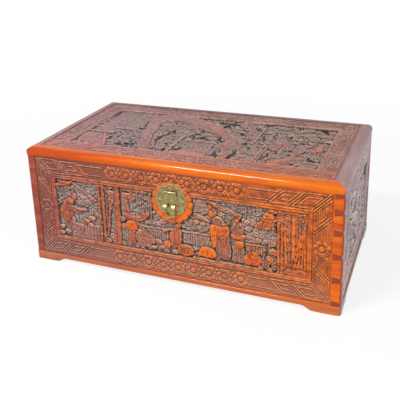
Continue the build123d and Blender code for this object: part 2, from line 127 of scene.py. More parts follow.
def oval(x, y, wide, high, turn=0.0):
    """An ellipse by its half width and half height, turned."""
    reach = max(wide, high)
    cos, sin = math.cos(math.radians(turn)), math.sin(math.radians(turn))

    def distance(u, v):
        across = (cos * (u - x) + sin * (v - y)) / wide
        up = (cos * (v - y) - sin * (u - x)) / high
        return (np.hypot(across, up) - 1) * min(wide, high)

    return (x - reach, x + reach, y - reach, y + reach), distance


def box(left, right, bottom, top):
    """An upright rectangle."""
    middle_u, middle_v = (left + right) / 2, (bottom + top) / 2
    half_u, half_v = (right - left) / 2, (top - bottom) / 2

    def distance(u, v):
        beyond_u, beyond_v = np.abs(u - middle_u) - half_u, np.abs(v - middle_v) - half_v
        outside = np.hypot(np.maximum(beyond_u, 0), np.maximum(beyond_v, 0))
        return outside + np.minimum(np.maximum(beyond_u, beyond_v), 0)

    return (left, right, bottom, top), distance


def flower(x, y, radius, lobes, lobe_radius):
    """A middle with round lobes about it, out to a radius."""
    middle = radius - lobe_radius
    turns = [math.tau * number / lobes for number in range(lobes)]
    parts = [(x, y, middle)]
    parts += [(x + middle * math.cos(t), y + middle * math.sin(t), lobe_radius) for t in turns]

    def distance(u, v):
        return np.min([np.hypot(u - a, v - b) - r for a, b, r in parts], axis=0)

    return (x - radius, x + radius, y - radius, y + radius), distance


def smooth_path(points, closed=False, steps=5):
    """Points along a smooth curve through the given ones."""
    given = np.array(points, float)
    count = len(given)
    path = []
    for start in range(count if closed else count - 1):
        if closed:
            a, b, c, d = (given[(start + shift) % count] for shift in (-1, 0, 1, 2))
        else:
            a, b = given[max(start - 1, 0)], given[start]
            c, d = given[start + 1], given[min(start + 2, count - 1)]
        for t in np.arange(steps) / steps:
            bend = (2 * a - 5 * b + 4 * c - d) * t * t + (3 * b - a - 3 * c + d) * t**3
            path.append(0.5 * (2 * b + (c - a) * t + bend))
    if not closed:
        path.append(given[-1])
    return np.array(path)


def to_segment(u, v, ax, ay, bx, by):
    """How far along a straight piece each point is, from 0 to 1, and its gap to that place."""
    dx, dy = bx - ax, by - ay
    along = np.clip(((u - ax) * dx + (v - ay) * dy) / max(dx * dx + dy * dy, 1e-9), 0, 1)
    return along, np.hypot(u - ax - along * dx, v - ay - along * dy)


def stroke(points, width=None, smooth=True):
    """A line with round ends. Each point is (u, v), or (u, v, width) for a taper."""
    path = np.array([(*point[:2], point[2] if len(point) > 2 else width) for point in points])
    if smooth and len(path) > 2:
        path = smooth_path(path)
    reach = path[:, 2].max() / 2
    low, high = path.min(axis=0) - reach, path.max(axis=0) + reach

    def distance(u, v):
        nearest = np.full(u.shape, 1e6)
        for (ax, ay, aw), (bx, by, bw) in zip(path[:-1], path[1:]):
            along, gap = to_segment(u, v, ax, ay, bx, by)
            nearest = np.minimum(nearest, gap - (aw + along * (bw - aw)) / 2)
        return nearest

    return (low[0], high[0], low[1], high[1]), distance


def outline(points):
    """A closed, curved outline through the points."""
    path = smooth_path(points, closed=True, steps=4)
    low, high = path.min(axis=0), path.max(axis=0)

    def distance(u, v):
        nearest = np.full(u.shape, 1e6)
        inside = np.zeros(u.shape, bool)
        for (ax, ay), (bx, by) in zip(path, np.roll(path, -1, axis=0)):
            nearest = np.minimum(nearest, to_segment(u, v, ax, ay, bx, by)[1])
            if ay != by:
                crossing = ax + (v - ay) * (bx - ax) / (by - ay)
                inside ^= ((ay > v) != (by > v)) & (u < crossing)
        return np.where(inside, -nearest, nearest)

    return (low[0], high[0], low[1], high[1]), distance


def blurred(values, reach):
    """Box average over a square window."""
    padded = np.pad(values, reach, mode="edge")
    total = np.pad(padded.cumsum(axis=0).cumsum(axis=1), ((1, 0), (1, 0)))
    size = 2 * reach + 1
    window = total[size:, size:] - total[:-size, size:] - total[size:, :-size] + total[:-size, :-size]
    return window / size**2


class Relief:
    """The carved surface of one face, as heights on a grid of points."""

    def __init__(self, columns, rows, level):
        self.u, self.v = columns, rows
        self.across, self.up = np.meshgrid(columns, rows)
        self.cell = columns[1] - columns[0]
        self.height = np.full(self.across.shape, float(level))
        self.glow = np.zeros(self.across.shape)
        self.floor = float(level)
        self.wobble = self.waver(2.4)

    def waver(self, size):
        """Smooth noise over the face, about one unit high, with bumps of a size."""
        reach = max(1, round(size / 2 / self.cell))
        field = chance.standard_normal(self.across.shape)
        field = blurred(blurred(field, reach), reach)
        return field / field.std()


class Pen:
    """Draws on a relief from a place, turned, with a hand that shakes a little."""

    def __init__(self, relief, x=0.0, y=0.0, turn=0.0, shake=0.3):
        self.relief, self.x, self.y, self.turn, self.shake = relief, x, y, turn, shake
        self.cos, self.sin = math.cos(math.radians(turn)), math.sin(math.radians(turn))

    def to_face(self, p, q):
        """The place on the face of a point in the pen's own directions."""
        return self.x + (self.cos * p - self.sin * q), self.y + (self.sin * p + self.cos * q)

    def at(self, x, y, turn):
        """A pen moved and turned from this one."""
        return Pen(self.relief, *self.to_face(x, y), self.turn + turn, self.shake)

    def look(self, shape, margin):
        """The window of the grid that the shape reaches, and its distances there."""
        (left, right, bottom, top), distance = shape
        corners = [self.to_face(p, q) for p in (left, right) for q in (bottom, top)]
        us, vs = zip(*corners)
        relief = self.relief
        first, last = np.searchsorted(relief.u, (min(us) - margin, max(us) + margin))
        lowest, highest = np.searchsorted(relief.v, (min(vs) - margin, max(vs) + margin))
        if first == last or lowest == highest:
            return None, None
        window = (slice(lowest, highest), slice(first, last))
        across, up = relief.across[window] - self.x, relief.up[window] - self.y
        p, q = self.cos * across + self.sin * up, self.cos * up - self.sin * across
        return window, distance(p, q) + self.shake * relief.wobble[window]

    def lay(self, shape, top, drop=1.1, shoulder=1.6, groove=0.8, glow=0.0):
        """Raises a shape to a level, rounds its rim and cuts a groove about it."""
        window, distance = self.look(shape, GROOVE)
        if window is None:
            return
        relief = self.relief
        height = relief.height[window]
        cut = np.where(distance > 0, groove * np.clip(1 - distance / GROOVE, 0, 1), 0)
        ground = np.maximum(height - cut, np.minimum(height, relief.floor))
        inner = np.clip(-distance / shoulder, 0, 1)
        surface = top - drop * (1 - np.sqrt(1 - (1 - inner) ** 2))
        cover = np.clip(0.5 - distance / relief.cell, 0, 1)
        relief.height[window] = ground * (1 - cover) + surface * cover
        relief.glow[window] = relief.glow[window] * (1 - cover) + glow * cover

    def sink(self, shape, level, glow=0.0):
        """Cuts a flat hollow down to a level."""
        self.lay(shape, level, 0.0, 1.0, 0.0, glow)

    def score(self, points, width=1.1, depth=0.5, smooth=True):
        """Cuts a V groove along a line."""
        window, distance = self.look(stroke(points, width, smooth), 0)
        if window is not None:
            profile = np.clip(-2 * distance / width, 0, 1)
            self.relief.height[window] -= depth * profile

    def ridge(self, points, width, rise, glow=None):
        """Leaves a fine ridge standing along a line."""
        window, distance = self.look(stroke(points, width), 0)
        if window is not None:
            profile = np.sqrt(np.clip(-2 * distance / width, 0, 1))
            self.relief.height[window] += rise * profile
            if glow is not None:
                old = self.relief.glow[window]
                self.relief.glow[window] = old + (glow - old) * profile


# Motifs
def leaf_knot(pen, x, y, radius=4.2, top=NEAR, petals=6, glow=0.6):
    """A round knot of leaves: domes in a ring about a middle one."""
    for number in range(petals):
        turn = math.tau * (number + 0.5) / petals
        spot = disc(x + 0.6 * radius * math.cos(turn), y + 0.6 * radius * math.sin(turn), 0.46 * radius)
        pen.lay(spot, top - 0.35, drop=0.9, shoulder=0.4 * radius, groove=0.5, glow=0.7 * glow)
    pen.lay(disc(x, y, 0.46 * radius), top, drop=0.9, shoulder=0.42 * radius, glow=glow)


def leaf_knots(pen, places, top=NEAR, glow=0.6):
    """Knots of leaves, each by its middle and radius."""
    for x, y, radius in places:
        leaf_knot(pen, x, y, radius, top, glow=glow)


def stones(pen, places, top, glow=0.2):
    """Rounded stones or cloud heads, each with a curl cut in."""
    for x, y, radius in places:
        tilt = chance.uniform(-15, 15)
        pen.lay(oval(x, y, radius, 0.74 * radius, tilt), top, 1.3, 0.7 * radius, glow=glow)
        curl = [(x - 0.5 * radius, y - 0.1 * radius), (x, y + 0.25 * radius), (x + 0.5 * radius, y)]
        pen.score(curl, 0.9, 0.35)


def planks(pen, left, right, bottom, top, count, level, glow=(0.2,)):
    """Upright planks side by side, each with a rounded face."""
    pitch = (right - left) / count
    pen.lay(box(left, right, bottom, top), level - 0.9, 0.0, 1.0, 0.6, glow[0])
    for number in range(count):
        start = left + number * pitch
        board = box(start + 0.06 * pitch, start + 0.94 * pitch, bottom, top)
        lift = level + 0.3 * chance.uniform(-1, 1)
        pen.lay(board, lift, 0.7, 0.42 * pitch, 0.2, glow[number % len(glow)])


def post(pen, x, bottom, top, width, level=NEAR, glow=0.5, lean=0.0):
    """A round post or bamboo with its nodes marked."""
    pen.lay(stroke([(x, bottom), (x + lean, top)], width), level, 1.1, width / 2, 0.8, glow)
    for share in (0.3, 0.62):
        at_u, at_v = x + share * lean, bottom + share * (top - bottom)
        pen.score([(at_u - 0.5 * width, at_v), (at_u + 0.5 * width, at_v)], 0.8, 0.3)


def hanging(pen, left, right, bottom, top, count, level, glow=0.05):
    """Willow strands: fine hanging lines of uneven length."""
    for number in range(count):
        x = left + (right - left) * (number + 0.5) / count
        sway = chance.uniform(-0.9, 0.9)
        end = bottom + chance.uniform(0, 0.35) * (top - bottom)
        line = [(x, top, 1.0), (x + sway, (top + end) / 2, 1.5), (x + 0.4 * sway, end, 0.8)]
        pen.lay(stroke(line), level + 0.3 * chance.uniform(-1, 1), 0.6, 0.7, 0.6, glow)


def pine_fan(pen, x, y, reach, turn, spread=130, count=9, level=MID, glow=0.3):
    """A fan of pine needles."""
    for number in range(count):
        angle = math.radians(turn + spread * (number / (count - 1) - 0.5))
        tip = (x + reach * math.cos(angle), y + reach * math.sin(angle), 1.0)
        pen.lay(stroke([(x, y, 1.6), tip]), level, 0.5, 0.7, 0.5, glow)


def pine_pad(pen, x, y, wide, high, level=NEAR, glow=0.9):
    """A layer of pine foliage: rows of round tufts with needles cut in."""
    rows = max(2, round(high / 3.2))
    for row in range(rows):
        reach = 0.5 * wide * (1 - 0.7 * row / rows)
        count = max(2, round(2 * reach / 3.6))
        for number in range(count):
            at_u = x + reach * (2 * (number + 0.5) / count - 1) + chance.uniform(-0.6, 0.6)
            at_v = y + 1.6 + high * row / rows + chance.uniform(-0.7, 0.7)
            radius = chance.uniform(2.2, 2.9)
            tuft_glow = glow * chance.uniform(0.75, 1)
            pen.lay(disc(at_u, at_v, radius), level - 0.1 * row, 1.1, radius, 0.7, tuft_glow)
            for lean in (-1.3, 0.0, 1.3):
                needle = [(at_u + 0.4 * lean, at_v - 0.8), (at_u + lean, at_v + 0.8 * radius)]
                pen.score(needle, 0.7, 0.35, False)


def limb(pen, points, level=MID, glow=0.3, light=True):
    """A tapered branch or trunk with bark cut along it and a light upper edge."""
    pen.lay(stroke(points), level, 1.5, max(point[2] for point in points) / 2, 0.9, glow)
    for side in (-0.22, 0.2):
        line = [(x, y + side * width) for x, y, width in points]
        pen.score(line, 0.9, 0.4)
    if light:
        pen.ridge([(x, y + 0.42 * width) for x, y, width in points], 1.3, 0.5)


def thicket(pen, left, right, bottom, top, size, level, glow):
    """A bank of small leaves, curls and tufts that fills a part of the ground."""
    rows = max(1, round((top - bottom) / (1.6 * size)))
    columns = max(1, round((right - left) / (1.8 * size)))
    for row in range(rows):
        for column in range(columns):
            across = column + 0.5 + 0.3 * (row % 2) + chance.uniform(-0.25, 0.25)
            x = left + (right - left) * min(across / columns, 1.0)
            y = bottom + (top - bottom) * (row + 0.5 + chance.uniform(-0.25, 0.25)) / rows
            radius, lift = size * chance.uniform(0.7, 1.1), level + chance.uniform(-0.6, 0.4)
            kind = chance.integers(3)
            if kind == 0:
                leaf_knot(pen, x, y, radius, lift, 5, glow)
            elif kind == 1:
                stones(pen, [(x, y, radius)], lift, glow)
            else:
                turn = 90 + chance.uniform(-50, 50)
                pine_fan(pen, x, y - 0.6 * radius, 1.6 * radius, turn, 120, 6, lift, glow)


def drape(pen, top, hem, folds, level=NEAR, glow=(0.95, 0.5)):
    """Cloth that hangs in folds from one line to another."""
    (ax, ay), (bx, by), (cx, cy), (dx, dy) = *top, *hem
    for number in range(folds):
        share = (number + 0.5) / folds
        start = (ax + share * (bx - ax), ay + share * (by - ay), 1.25 * abs(bx - ax) / folds)
        end_v = cy + share * (dy - cy) + chance.uniform(-0.8, 0.8)
        end = (cx + share * (dx - cx), end_v, 1.25 * abs(dx - cx) / folds)
        sway = chance.uniform(-0.5, 0.5)
        middle = ((start[0] + end[0]) / 2 + sway, (start[1] + end[1]) / 2, (start[2] + end[2]) / 2)
        lift = level - 0.35 * (number % 2)
        pen.lay(stroke([start, middle, end]), lift, 1.0, 0.5 * middle[2], 0.4, glow[number % len(glow)])


def robe(pen, points, folds, level=NEAR, glow=0.7, shoulder=2.4):
    """A rounded form, such as a robe, a sleeve, a rock or a hull, with its folds cut in."""
    pen.lay(outline(points), level, 1.5, 1.4 * shoulder, 0.9, glow)
    for fold in folds:
        pen.score(fold, 1.6, 0.75)


def head(pen, x, y, radius, look=1, level=NEAR + 0.2, glow=0.9, hat=False):
    """A small head turned to one side: hair, face, nose and brow, and a hat or a knot of hair."""
    hair = disc(x - 0.22 * look * radius, y + 0.25 * radius, 1.02 * radius)
    pen.lay(hair, level - 0.5, 1.3, 0.8 * radius, 0.9, 0.1)
    face = oval(x + 0.16 * look * radius, y - 0.12 * radius, 0.76 * radius, 0.95 * radius)
    pen.lay(face, level, 1.1, 0.7 * radius, 0.3, glow)
    nose = disc(x + 0.85 * look * radius, y - 0.15 * radius, 0.2 * radius)
    pen.lay(nose, level - 0.3, 0.4, 0.5, 0, glow)
    pen.score([(x, y + 0.12 * radius), (x + 0.7 * look * radius, y + 0.12 * radius)], 0.7, 0.2)
    if hat:
        brim = [(x - 1.1 * radius, y + 0.6 * radius), (x + radius, y + 0.75 * radius)]
        pen.lay(stroke(brim, 0.6 * radius), level + 0.1, 0.6, 0.3 * radius, 0.5, 0.0)
        pen.lay(disc(x - 0.1 * radius, y + 1.15 * radius, 0.62 * radius), level, 0.9, 0.5 * radius, 0.4, 0.0)
    else:
        knot = disc(x - 0.45 * look * radius, y + 1.25 * radius, 0.42 * radius)
        pen.lay(knot, level - 0.4, 0.7, 1, 0.4, 0.3)


def roof(pen, x, y, wide, high, level=MID, glow=0.4):
    """A tiled roof with upturned eaves, seen from the front."""
    shape = [
        (x - 0.34 * wide, y + high), (x, y + 1.06 * high), (x + 0.34 * wide, y + high),
        (x + 0.4 * wide, y + 0.4 * high), (x + 0.56 * wide, y + 0.16 * high),
        (x + 0.44 * wide, y), (x, y + 0.05 * high), (x - 0.44 * wide, y),
        (x - 0.56 * wide, y + 0.16 * high), (x - 0.4 * wide, y + 0.4 * high),
    ]
    pen.lay(outline(shape), level, 1.1, 1.8, 1.0, glow)
    rows = max(4, round(wide / 2.6))
    for number in range(rows):
        share = (number + 0.5) / rows - 0.5
        foot, ridge_end = (x + 0.9 * wide * share, y + 0.12 * high), (x + 0.6 * wide * share, y + 0.9 * high)
        pen.score([foot, ridge_end], 0.9, 0.4)
    for reach, end, middle in ((0.34, 1.0, 1.05), (0.54, 0.14, 0.06)):
        left, right = (x - reach * wide, y + end * high), (x + reach * wide, y + end * high)
        pen.ridge([left, (x, y + middle * high), right], 1.6, 0.5)


def wall(pen, left, right, bottom, top, level=MID - 0.4, glow=0.15):
    """A low wall of upright boards under a coping."""
    planks(pen, left, right, bottom, top, max(3, round((right - left) / 3)), level, (glow,))
    pen.lay(stroke([(left, top), (right, top)], 2.2), level + 0.9, 0.7, 1.1, 0.6, 0.1)


def lattice(pen, points, pitch=4.2, level=NEAR, glow=0.9):
    """A woven bundle: a rounded form crossed by diagonal lines."""
    pen.lay(outline(points), level, 1.6, 3.0, 0.9, glow)
    us, vs = zip(*points)
    left, right, bottom, top = min(us), max(us), min(vs), max(vs)
    middle_u, middle_v, reach = (left + right) / 2, (bottom + top) / 2, (right - left) / 2.6
    for number in range(-2, 3):
        shift = number * pitch
        for slope in (-1, 1):
            start = (middle_u + shift - 0.5 * reach, middle_v - slope * 0.5 * reach)
            end = (middle_u + shift + 0.5 * reach, middle_v + slope * 0.5 * reach)
            pen.score([start, end], 0.9, 0.4)


def waves(pen, left, right, bottom, top, rows, level=FAR + 0.4, glow=0.1):
    """Water or worn rock in overlapping scallops."""
    pitch = (top - bottom) / rows
    for row in range(rows):
        y = top - (row + 0.6) * pitch
        count = round((right - left) / (1.9 * pitch))
        for number in range(count):
            x = left + (right - left) * (number + 0.5 + 0.35 * (row % 2)) / count
            radius = pitch * chance.uniform(0.95, 1.25)
            pen.lay(oval(x, y, 1.1 * radius, 0.8 * radius), level + 0.35 * row, 1.0, 0.6 * radius, 0.7, glow)
            pen.score([(x - 0.5 * radius, y), (x, y + 0.3 * radius), (x + 0.5 * radius, y)], 0.8, 0.3)


def feather_leaf(pen, x, y, length, turn, level=MID, glow=0.5):
    """A long plantain leaf with veins to both sides of its rib."""
    leaf = pen.at(x, y, turn)
    half, vein_pitch = 0.2 * length, 2.4
    upper = [(0, 0), (0.3 * length, half), (0.7 * length, half)]
    lower = [(length, 0), (0.7 * length, -half), (0.3 * length, -half)]
    leaf.lay(outline(upper + lower), level, 1.2, 2.0, 0.8, glow)
    leaf.score([(0, 0), (0.95 * length, 0)], 1.0, 0.4)
    for number in range(1, round(length / vein_pitch)):
        foot = number * vein_pitch
        for side in (-1, 1):
            leaf.score([(foot - 1.6, 0), (foot + 1.4, side * half)], 0.8, 0.35)


# Borders
fret_margin = 2.3
fret_pitch = 4.8
fret_width = 1.7
mitre_bar = 2.0
first_spiral = (5.6, 25.2)
first_bar = 29.0
second_spiral = (33.4, 51.0)
second_bar = 55.5
second_inset = 1.2
long_side = 150
row_gap = 4
side_gap = 1


def rosette(pen, x, y, glow, radius=9.8, petals=7):
    """A round flower: a ring of petals about a standing middle."""
    for number in range(petals):
        turn = math.tau * (number + 0.25) / petals
        middle = (x + 0.66 * radius * math.cos(turn), y + 0.66 * radius * math.sin(turn))
        pen.lay(disc(*middle, 0.36 * radius), -0.06, 0.7, 0.2 * radius, 1.1, 0.75 * glow)
        pen.lay(disc(*middle, 0.1 * radius), -0.4, 0.2, 0.1 * radius, 0.0, 0.3 * glow)
    pen.sink(disc(x, y, 0.5 * radius), BAND_GROUND - 0.4)
    pen.lay(disc(x, y, 0.36 * radius), -0.02, 0.85, 0.34 * radius, 0.0, 0.9 * glow)


def rosette_row(pen, middle, level, count, pitch, vertical=False, glow=1.0):
    """Rosettes in a row with small beads between them."""
    for number in range(count):
        place = middle + (number - (count - 1) / 2) * pitch
        spot = (level, place) if vertical else (place, level)
        rosette(pen, *spot, glow)
        if number == count - 1:
            continue
        for side, radius in ((-0.62, 1.9), (0.0, 1.5), (0.62, 1.9)):
            across, up = place + pitch / 2, level + side * pitch / 2
            bead = (up, across) if vertical else (across, up)
            pen.lay(disc(*bead, radius), -0.12, 0.5, 1.3, 0.9, 0.6 * glow)


def key_fret(pen, corner, along, out, band, side_length, reach):
    """Skewed key fret from a mitred corner, ending in two lines that run to the rosettes."""
    def spot(skew, up):
        a = skew - up
        return corner[0] + a * along[0] + up * out[0], corner[1] + a * along[1] + up * out[1]

    def line(points):
        fret = stroke([spot(*point) for point in points], fret_width, False)
        pen.lay(fret, -0.04, 0.8, fret_width / 2, 0.3, 0.62)

    def spiral(start, end, low, high):
        points = [(start, low), (end, low), (end, high), (start, high)]
        while high - low > 2 * fret_pitch and end - start > 2 * fret_pitch:
            low, end, high = low + fret_pitch, end - fret_pitch, high - fret_pitch
            points += [(start, low), (end, low), (end, high), (start + fret_pitch, high)]
            start += fret_pitch
        line(points)

    low, high = fret_margin, band - fret_margin
    line([(mitre_bar, 0.9), (mitre_bar, band - 0.9)])
    spiral(*first_spiral, low, high)
    line([(first_bar, low), (first_bar, high)])
    last = first_bar
    if side_length > long_side:
        spiral(*second_spiral, low + second_inset, high - second_inset)
        line([(second_bar, low), (second_bar, high)])
        last = second_bar
    for up in (0.26 * band, 0.76 * band):
        line([(last, up), (reach + up, up)])


def edge_distance(relief, limits):
    """How far each point is inside the carving's outer edge."""
    left, right, bottom, top = limits
    sides = (relief.across - left, right - relief.across, relief.up - bottom, top - relief.up)
    return np.minimum.reduce(sides)


def border(relief, limits, band, bead, rosettes, side_rosettes, right_light=0.0):
    """The bead and the band of fret and rosettes round one face, with painted light brighter and warmer to
    the right.
    """
    left, right, bottom, top = limits
    inset = edge_distance(relief, limits)
    grit = 0.04
    ground = BAND_GROUND + grit + grit * chance.uniform(-1, 1, inset.shape)
    rails, half_rail = ((0.17, 0.83), 0.85) if bead > 3 else ((0.5,), 1.1)
    moulded = np.full(inset.shape, BEAD_GROUND)
    for rail in rails:
        away = np.abs(inset - band - rail * bead) / half_rail
        moulded = np.maximum(moulded, BEAD_GROUND * (1 - np.sqrt(np.clip(1 - away**2, 0, 1))))
    cover = np.clip(0.5 - (inset - band - bead) / relief.cell, 0, 1)
    surface = np.where(inset < band, ground, moulded)
    relief.height = relief.height * (1 - cover) + surface * cover
    # painted light: the band's ground warmer and brighter towards the upper right, the bead bright as a
    # painted highlight
    rightward = np.clip((relief.across - 0.6 * left) / (right - 0.6 * left), 0, 1)
    lit = rightward * np.clip((relief.up - bottom) / (top - bottom), 0.15, 1)
    least_glow, bead_glow = 0.08, 0.8
    lit = least_glow + right_light * np.maximum(lit, np.clip(6 * relief.across / right - 5, 0, 1))
    relief.glow = relief.glow * (1 - cover) + np.where(inset < band, lit, bead_glow) * cover
    pen = Pen(relief, shake=0.06)
    wide, high = right - left - 2 * band, top - bottom - 2 * band
    middle_u, middle_v = (left + right) / 2, (bottom + top) / 2
    (upper_shift, lower_shift), count, pitch = rosettes
    side_count, side_pitch = side_rosettes
    row_reach = wide / 2 - count * pitch / 2 - row_gap
    side_reach = high / 2 - side_count * side_pitch / 2 - side_gap
    for side_u in (-1, 1):
        for side_v in (-1, 1):
            corner = (middle_u + side_u * wide / 2, middle_v + side_v * high / 2)
            key_fret(pen, corner, (-side_u, 0), (0, side_v), band, wide, row_reach)
            key_fret(pen, corner, (0, -side_v), (side_u, 0), band, high, side_reach)
    # painted light on the rosettes: brightest on the front, dimmer at the bottom, much dimmer on the left
    heart = 0.4 + right_light
    rosette_row(pen, middle_u + upper_shift, top - band / 2, count, pitch, glow=heart)
    rosette_row(pen, middle_u + lower_shift, bottom + band / 2, count, pitch, glow=0.85 * heart)
    rosette_row(pen, middle_v, left + band / 2, side_count, side_pitch, True, 0.4 * heart)
    rosette_row(pen, middle_v, right - band / 2, side_count, side_pitch, True, heart)


# The front, bay by bay
def far_ground(relief, pitch=3.1):
    """Chisel marks down the sunk ground."""
    sway, sway_length, depth, grit = 1.3, 6.0, 0.14, 0.05
    marks = np.sin(relief.across * math.tau / pitch + sway * np.sin(relief.up / sway_length))
    relief.height += depth * marks + grit * chance.uniform(-1, 1, marks.shape)


def left_bay(pen):
    """A traveller under a pine, before clouds and a plank fence."""
    stones(pen, [(-131, 91, 6), (-122, 95, 6), (-112, 88, 6), (-119, 88, 6), (-106, 86, 5)], FAR, 0.1)
    stones(pen, [(-125, 88.5, 5.5), (-117, 90.5, 5), (-104.5, 90, 4)], MID - 0.6, 0.15)
    planks(pen, -139, -102, 56, 82, 10, FAR - 0.5, (0.05, 0.0))
    planks(pen, -143, -101, 38, 60, 9, MID, (0.1, 0.55))
    limb(pen, [(-139, 116, 3.4), (-128, 109, 5), (-116, 101, 5.5), (-108, 96, 5)], MID + 0.3, 0.25)
    stones(pen, [(-108, 95, 5.2), (-103.5, 100, 4)], MID + 0.5, 0.1)
    hanging(pen, -161, -141, 99, 110, 8, MID - 0.4, 0.0)
    limb(pen, [(-162, 109, 4), (-152, 111, 5.5), (-141, 114, 5), (-136, 117, 3)], NEAR, 1.0, False)
    pine_fan(pen, -152, 113, 7, 80, 150, 8, MID, 0.5)
    pen.lay(stroke([(-162, 81), (-153, 87), (-143, 92)], 1.7), NEAR, 0.6, 0.8, 0.6, 0.1)
    robe(pen, [(-149, 64), (-140, 70), (-136, 60), (-138, 50), (-143, 49), (-146, 55), (-152, 57)],
         [[(-143, 66), (-140, 52)], [(-147, 62), (-145, 54)]], MID + 0.4, 0.45)
    folds = [[(-155 + 3 * k, 61.5 + 0.4 * k), (-152 + 2.2 * k, 70), (-148 + k, 78)] for k in range(4)]
    robe(pen, [(-143, 94), (-150, 89), (-156, 79), (-158, 68), (-153, 60), (-145, 60), (-140, 68),
               (-138, 80), (-137, 90)],
         folds, NEAR, 0.85, 3.2)
    robe(pen, [(-146, 86), (-138, 84), (-128, 81.5), (-121, 82), (-121, 78), (-130, 75), (-140, 75),
               (-146, 78)],
         [[(-142, 82), (-130, 78.5)], [(-136, 76.5), (-127, 78)]], NEAR + 0.1, 0.35, 2.0)
    pen.lay(disc(-119.5, 80, 1.8), NEAR, 0.7, 1.4, 0.5, 0.5)
    head(pen, -135.5, 96, 4.4, 1)
    stones(pen, [(-121, 63.5, 6), (-111.5, 69, 5.2), (-104.5, 76, 4.2), (-115, 60, 4)], NEAR - 0.5, 0.5)
    stones(pen, [(-157, 51, 4.4), (-149, 46, 4.4), (-158, 43, 4), (-138, 47, 3)], MID + 0.5, 0.25)


def first_posts(pen):
    """The framed posts between the left bay and the garden, with knots of leaves."""
    planks(pen, -101, -71, 38, 120, 11, FAR, (0.1, 0.25))
    post(pen, -99.0, 38, 120, 3.4, NEAR, 0.65)
    post(pen, -93.6, 38, 120, 4.2, NEAR - 0.2, 0.6)
    post(pen, -89.3, 52, 120, 1.8, MID + 0.4, 0.2)
    post(pen, -77.8, 45, 120, 2.2, MID + 0.2, 0.3)
    post(pen, -88.5, 57, 93, 3.0, NEAR - 0.3, 0.7, lean=5.5)
    leaf_knots(pen, [(-83, 107, 4.8), (-83.5, 97, 4.4), (-84, 117, 4)], NEAR, 0.7)
    leaf_knots(pen, [(-82.5, 49, 4.6), (-78.5, 42, 4), (-90, 42, 4)], NEAR - 0.2, 0.6)
    post(pen, -73.6, 42, 120, 5.6, NEAR + 0.15, 0.85)


def garden(pen):
    """A gardener by a trunk, a willow, a wall, a stair rail and plantain leaves."""
    planks(pen, -71, -47, 38, 66, 8, FAR - 0.2, (0.1,))
    hanging(pen, -52, -26, 84, 117, 13, FAR + 0.3, 0.05)
    hanging(pen, -44, -30, 90, 113, 5, MID - 0.4, 0.2)
    post(pen, -28.5, 74, 120, 3.0, MID, 0.35)
    wall(pen, -42, -7, 55, 71)
    leaf_knots(pen, [(-36, 75.5, 3.4), (-30.5, 76, 3.6), (-25, 76.5, 3.8), (-19.5, 76, 3.4)], MID - 0.4, 0.15)
    limb(pen, [(-63, 106, 5), (-62, 96, 6), (-60, 84, 7)], NEAR - 0.3, 0.6, False)
    robe(pen, [(-68, 83), (-61, 86), (-54, 83), (-46, 83), (-39, 88), (-32.5, 89.5), (-31, 86), (-37, 79.5),
               (-47, 76), (-60, 77.5)], [[(-60, 80), (-47, 79), (-37, 83.5)]], NEAR - 0.1, 0.75)
    pen.ridge([(-60, 92), (-57, 86), (-52, 83.3), (-45, 83.5), (-39, 88.2), (-33, 89.6)], 1.8, 0.7, 0.0)
    leaf_knots(pen, [(-64, 117, 4.2), (-55, 117, 4.2), (-46.5, 117, 4.2), (-38.5, 116.5, 4)],
               NEAR - 0.3, 0.55)
    leaf_knots(pen, [(-63.5, 107, 4.6), (-53.5, 108, 5)], NEAR, 0.9)
    leaf_knots(pen, [(-67.5, 75.5, 3.6), (-66.5, 66.5, 4.4)], NEAR - 0.3, 0.6)
    robe(pen, [(-60, 63), (-51, 63), (-50.5, 52), (-52, 45), (-59.5, 45), (-61, 53)],
         [[(-57.5, 61), (-58, 47)], [(-53.5, 61), (-53.5, 47)]], NEAR - 0.3, 0.7)
    robe(pen, [(-62.5, 74), (-55, 76.5), (-49, 74.5), (-47, 69), (-50, 63), (-60, 62.5), (-63.5, 68)],
         [[(-60, 66), (-52, 66)], [(-55, 74), (-54, 67)]], NEAR + 0.1, 1.0)
    drape(pen, ((-59.5, 62), (-51.5, 62)), ((-60, 46), (-51, 46)), 3, NEAR - 0.2, (0.85, 0.5))
    for number, turn in enumerate((-62, -48, -34)):
        foot = (-51 + 1.5 * number, 61 + 1.5 * number)
        feather_leaf(pen, *foot, 22 + 3 * number, turn, MID + 0.1 * number, 0.55)
    pen.lay(stroke([(-48.5, 75), (-22, 52.5)], 2.4), NEAR, 0.7, 1.1, 1.0, 0.05)
    stones(pen, [(-20.5, 53, 5.4), (-27, 44, 4)], MID + 0.6, 0.2)
    leaf_knots(pen, [(-50, 42.5, 3.2), (-42, 41.5, 3), (-68, 42, 3.6)], NEAR - 0.4, 0.4)


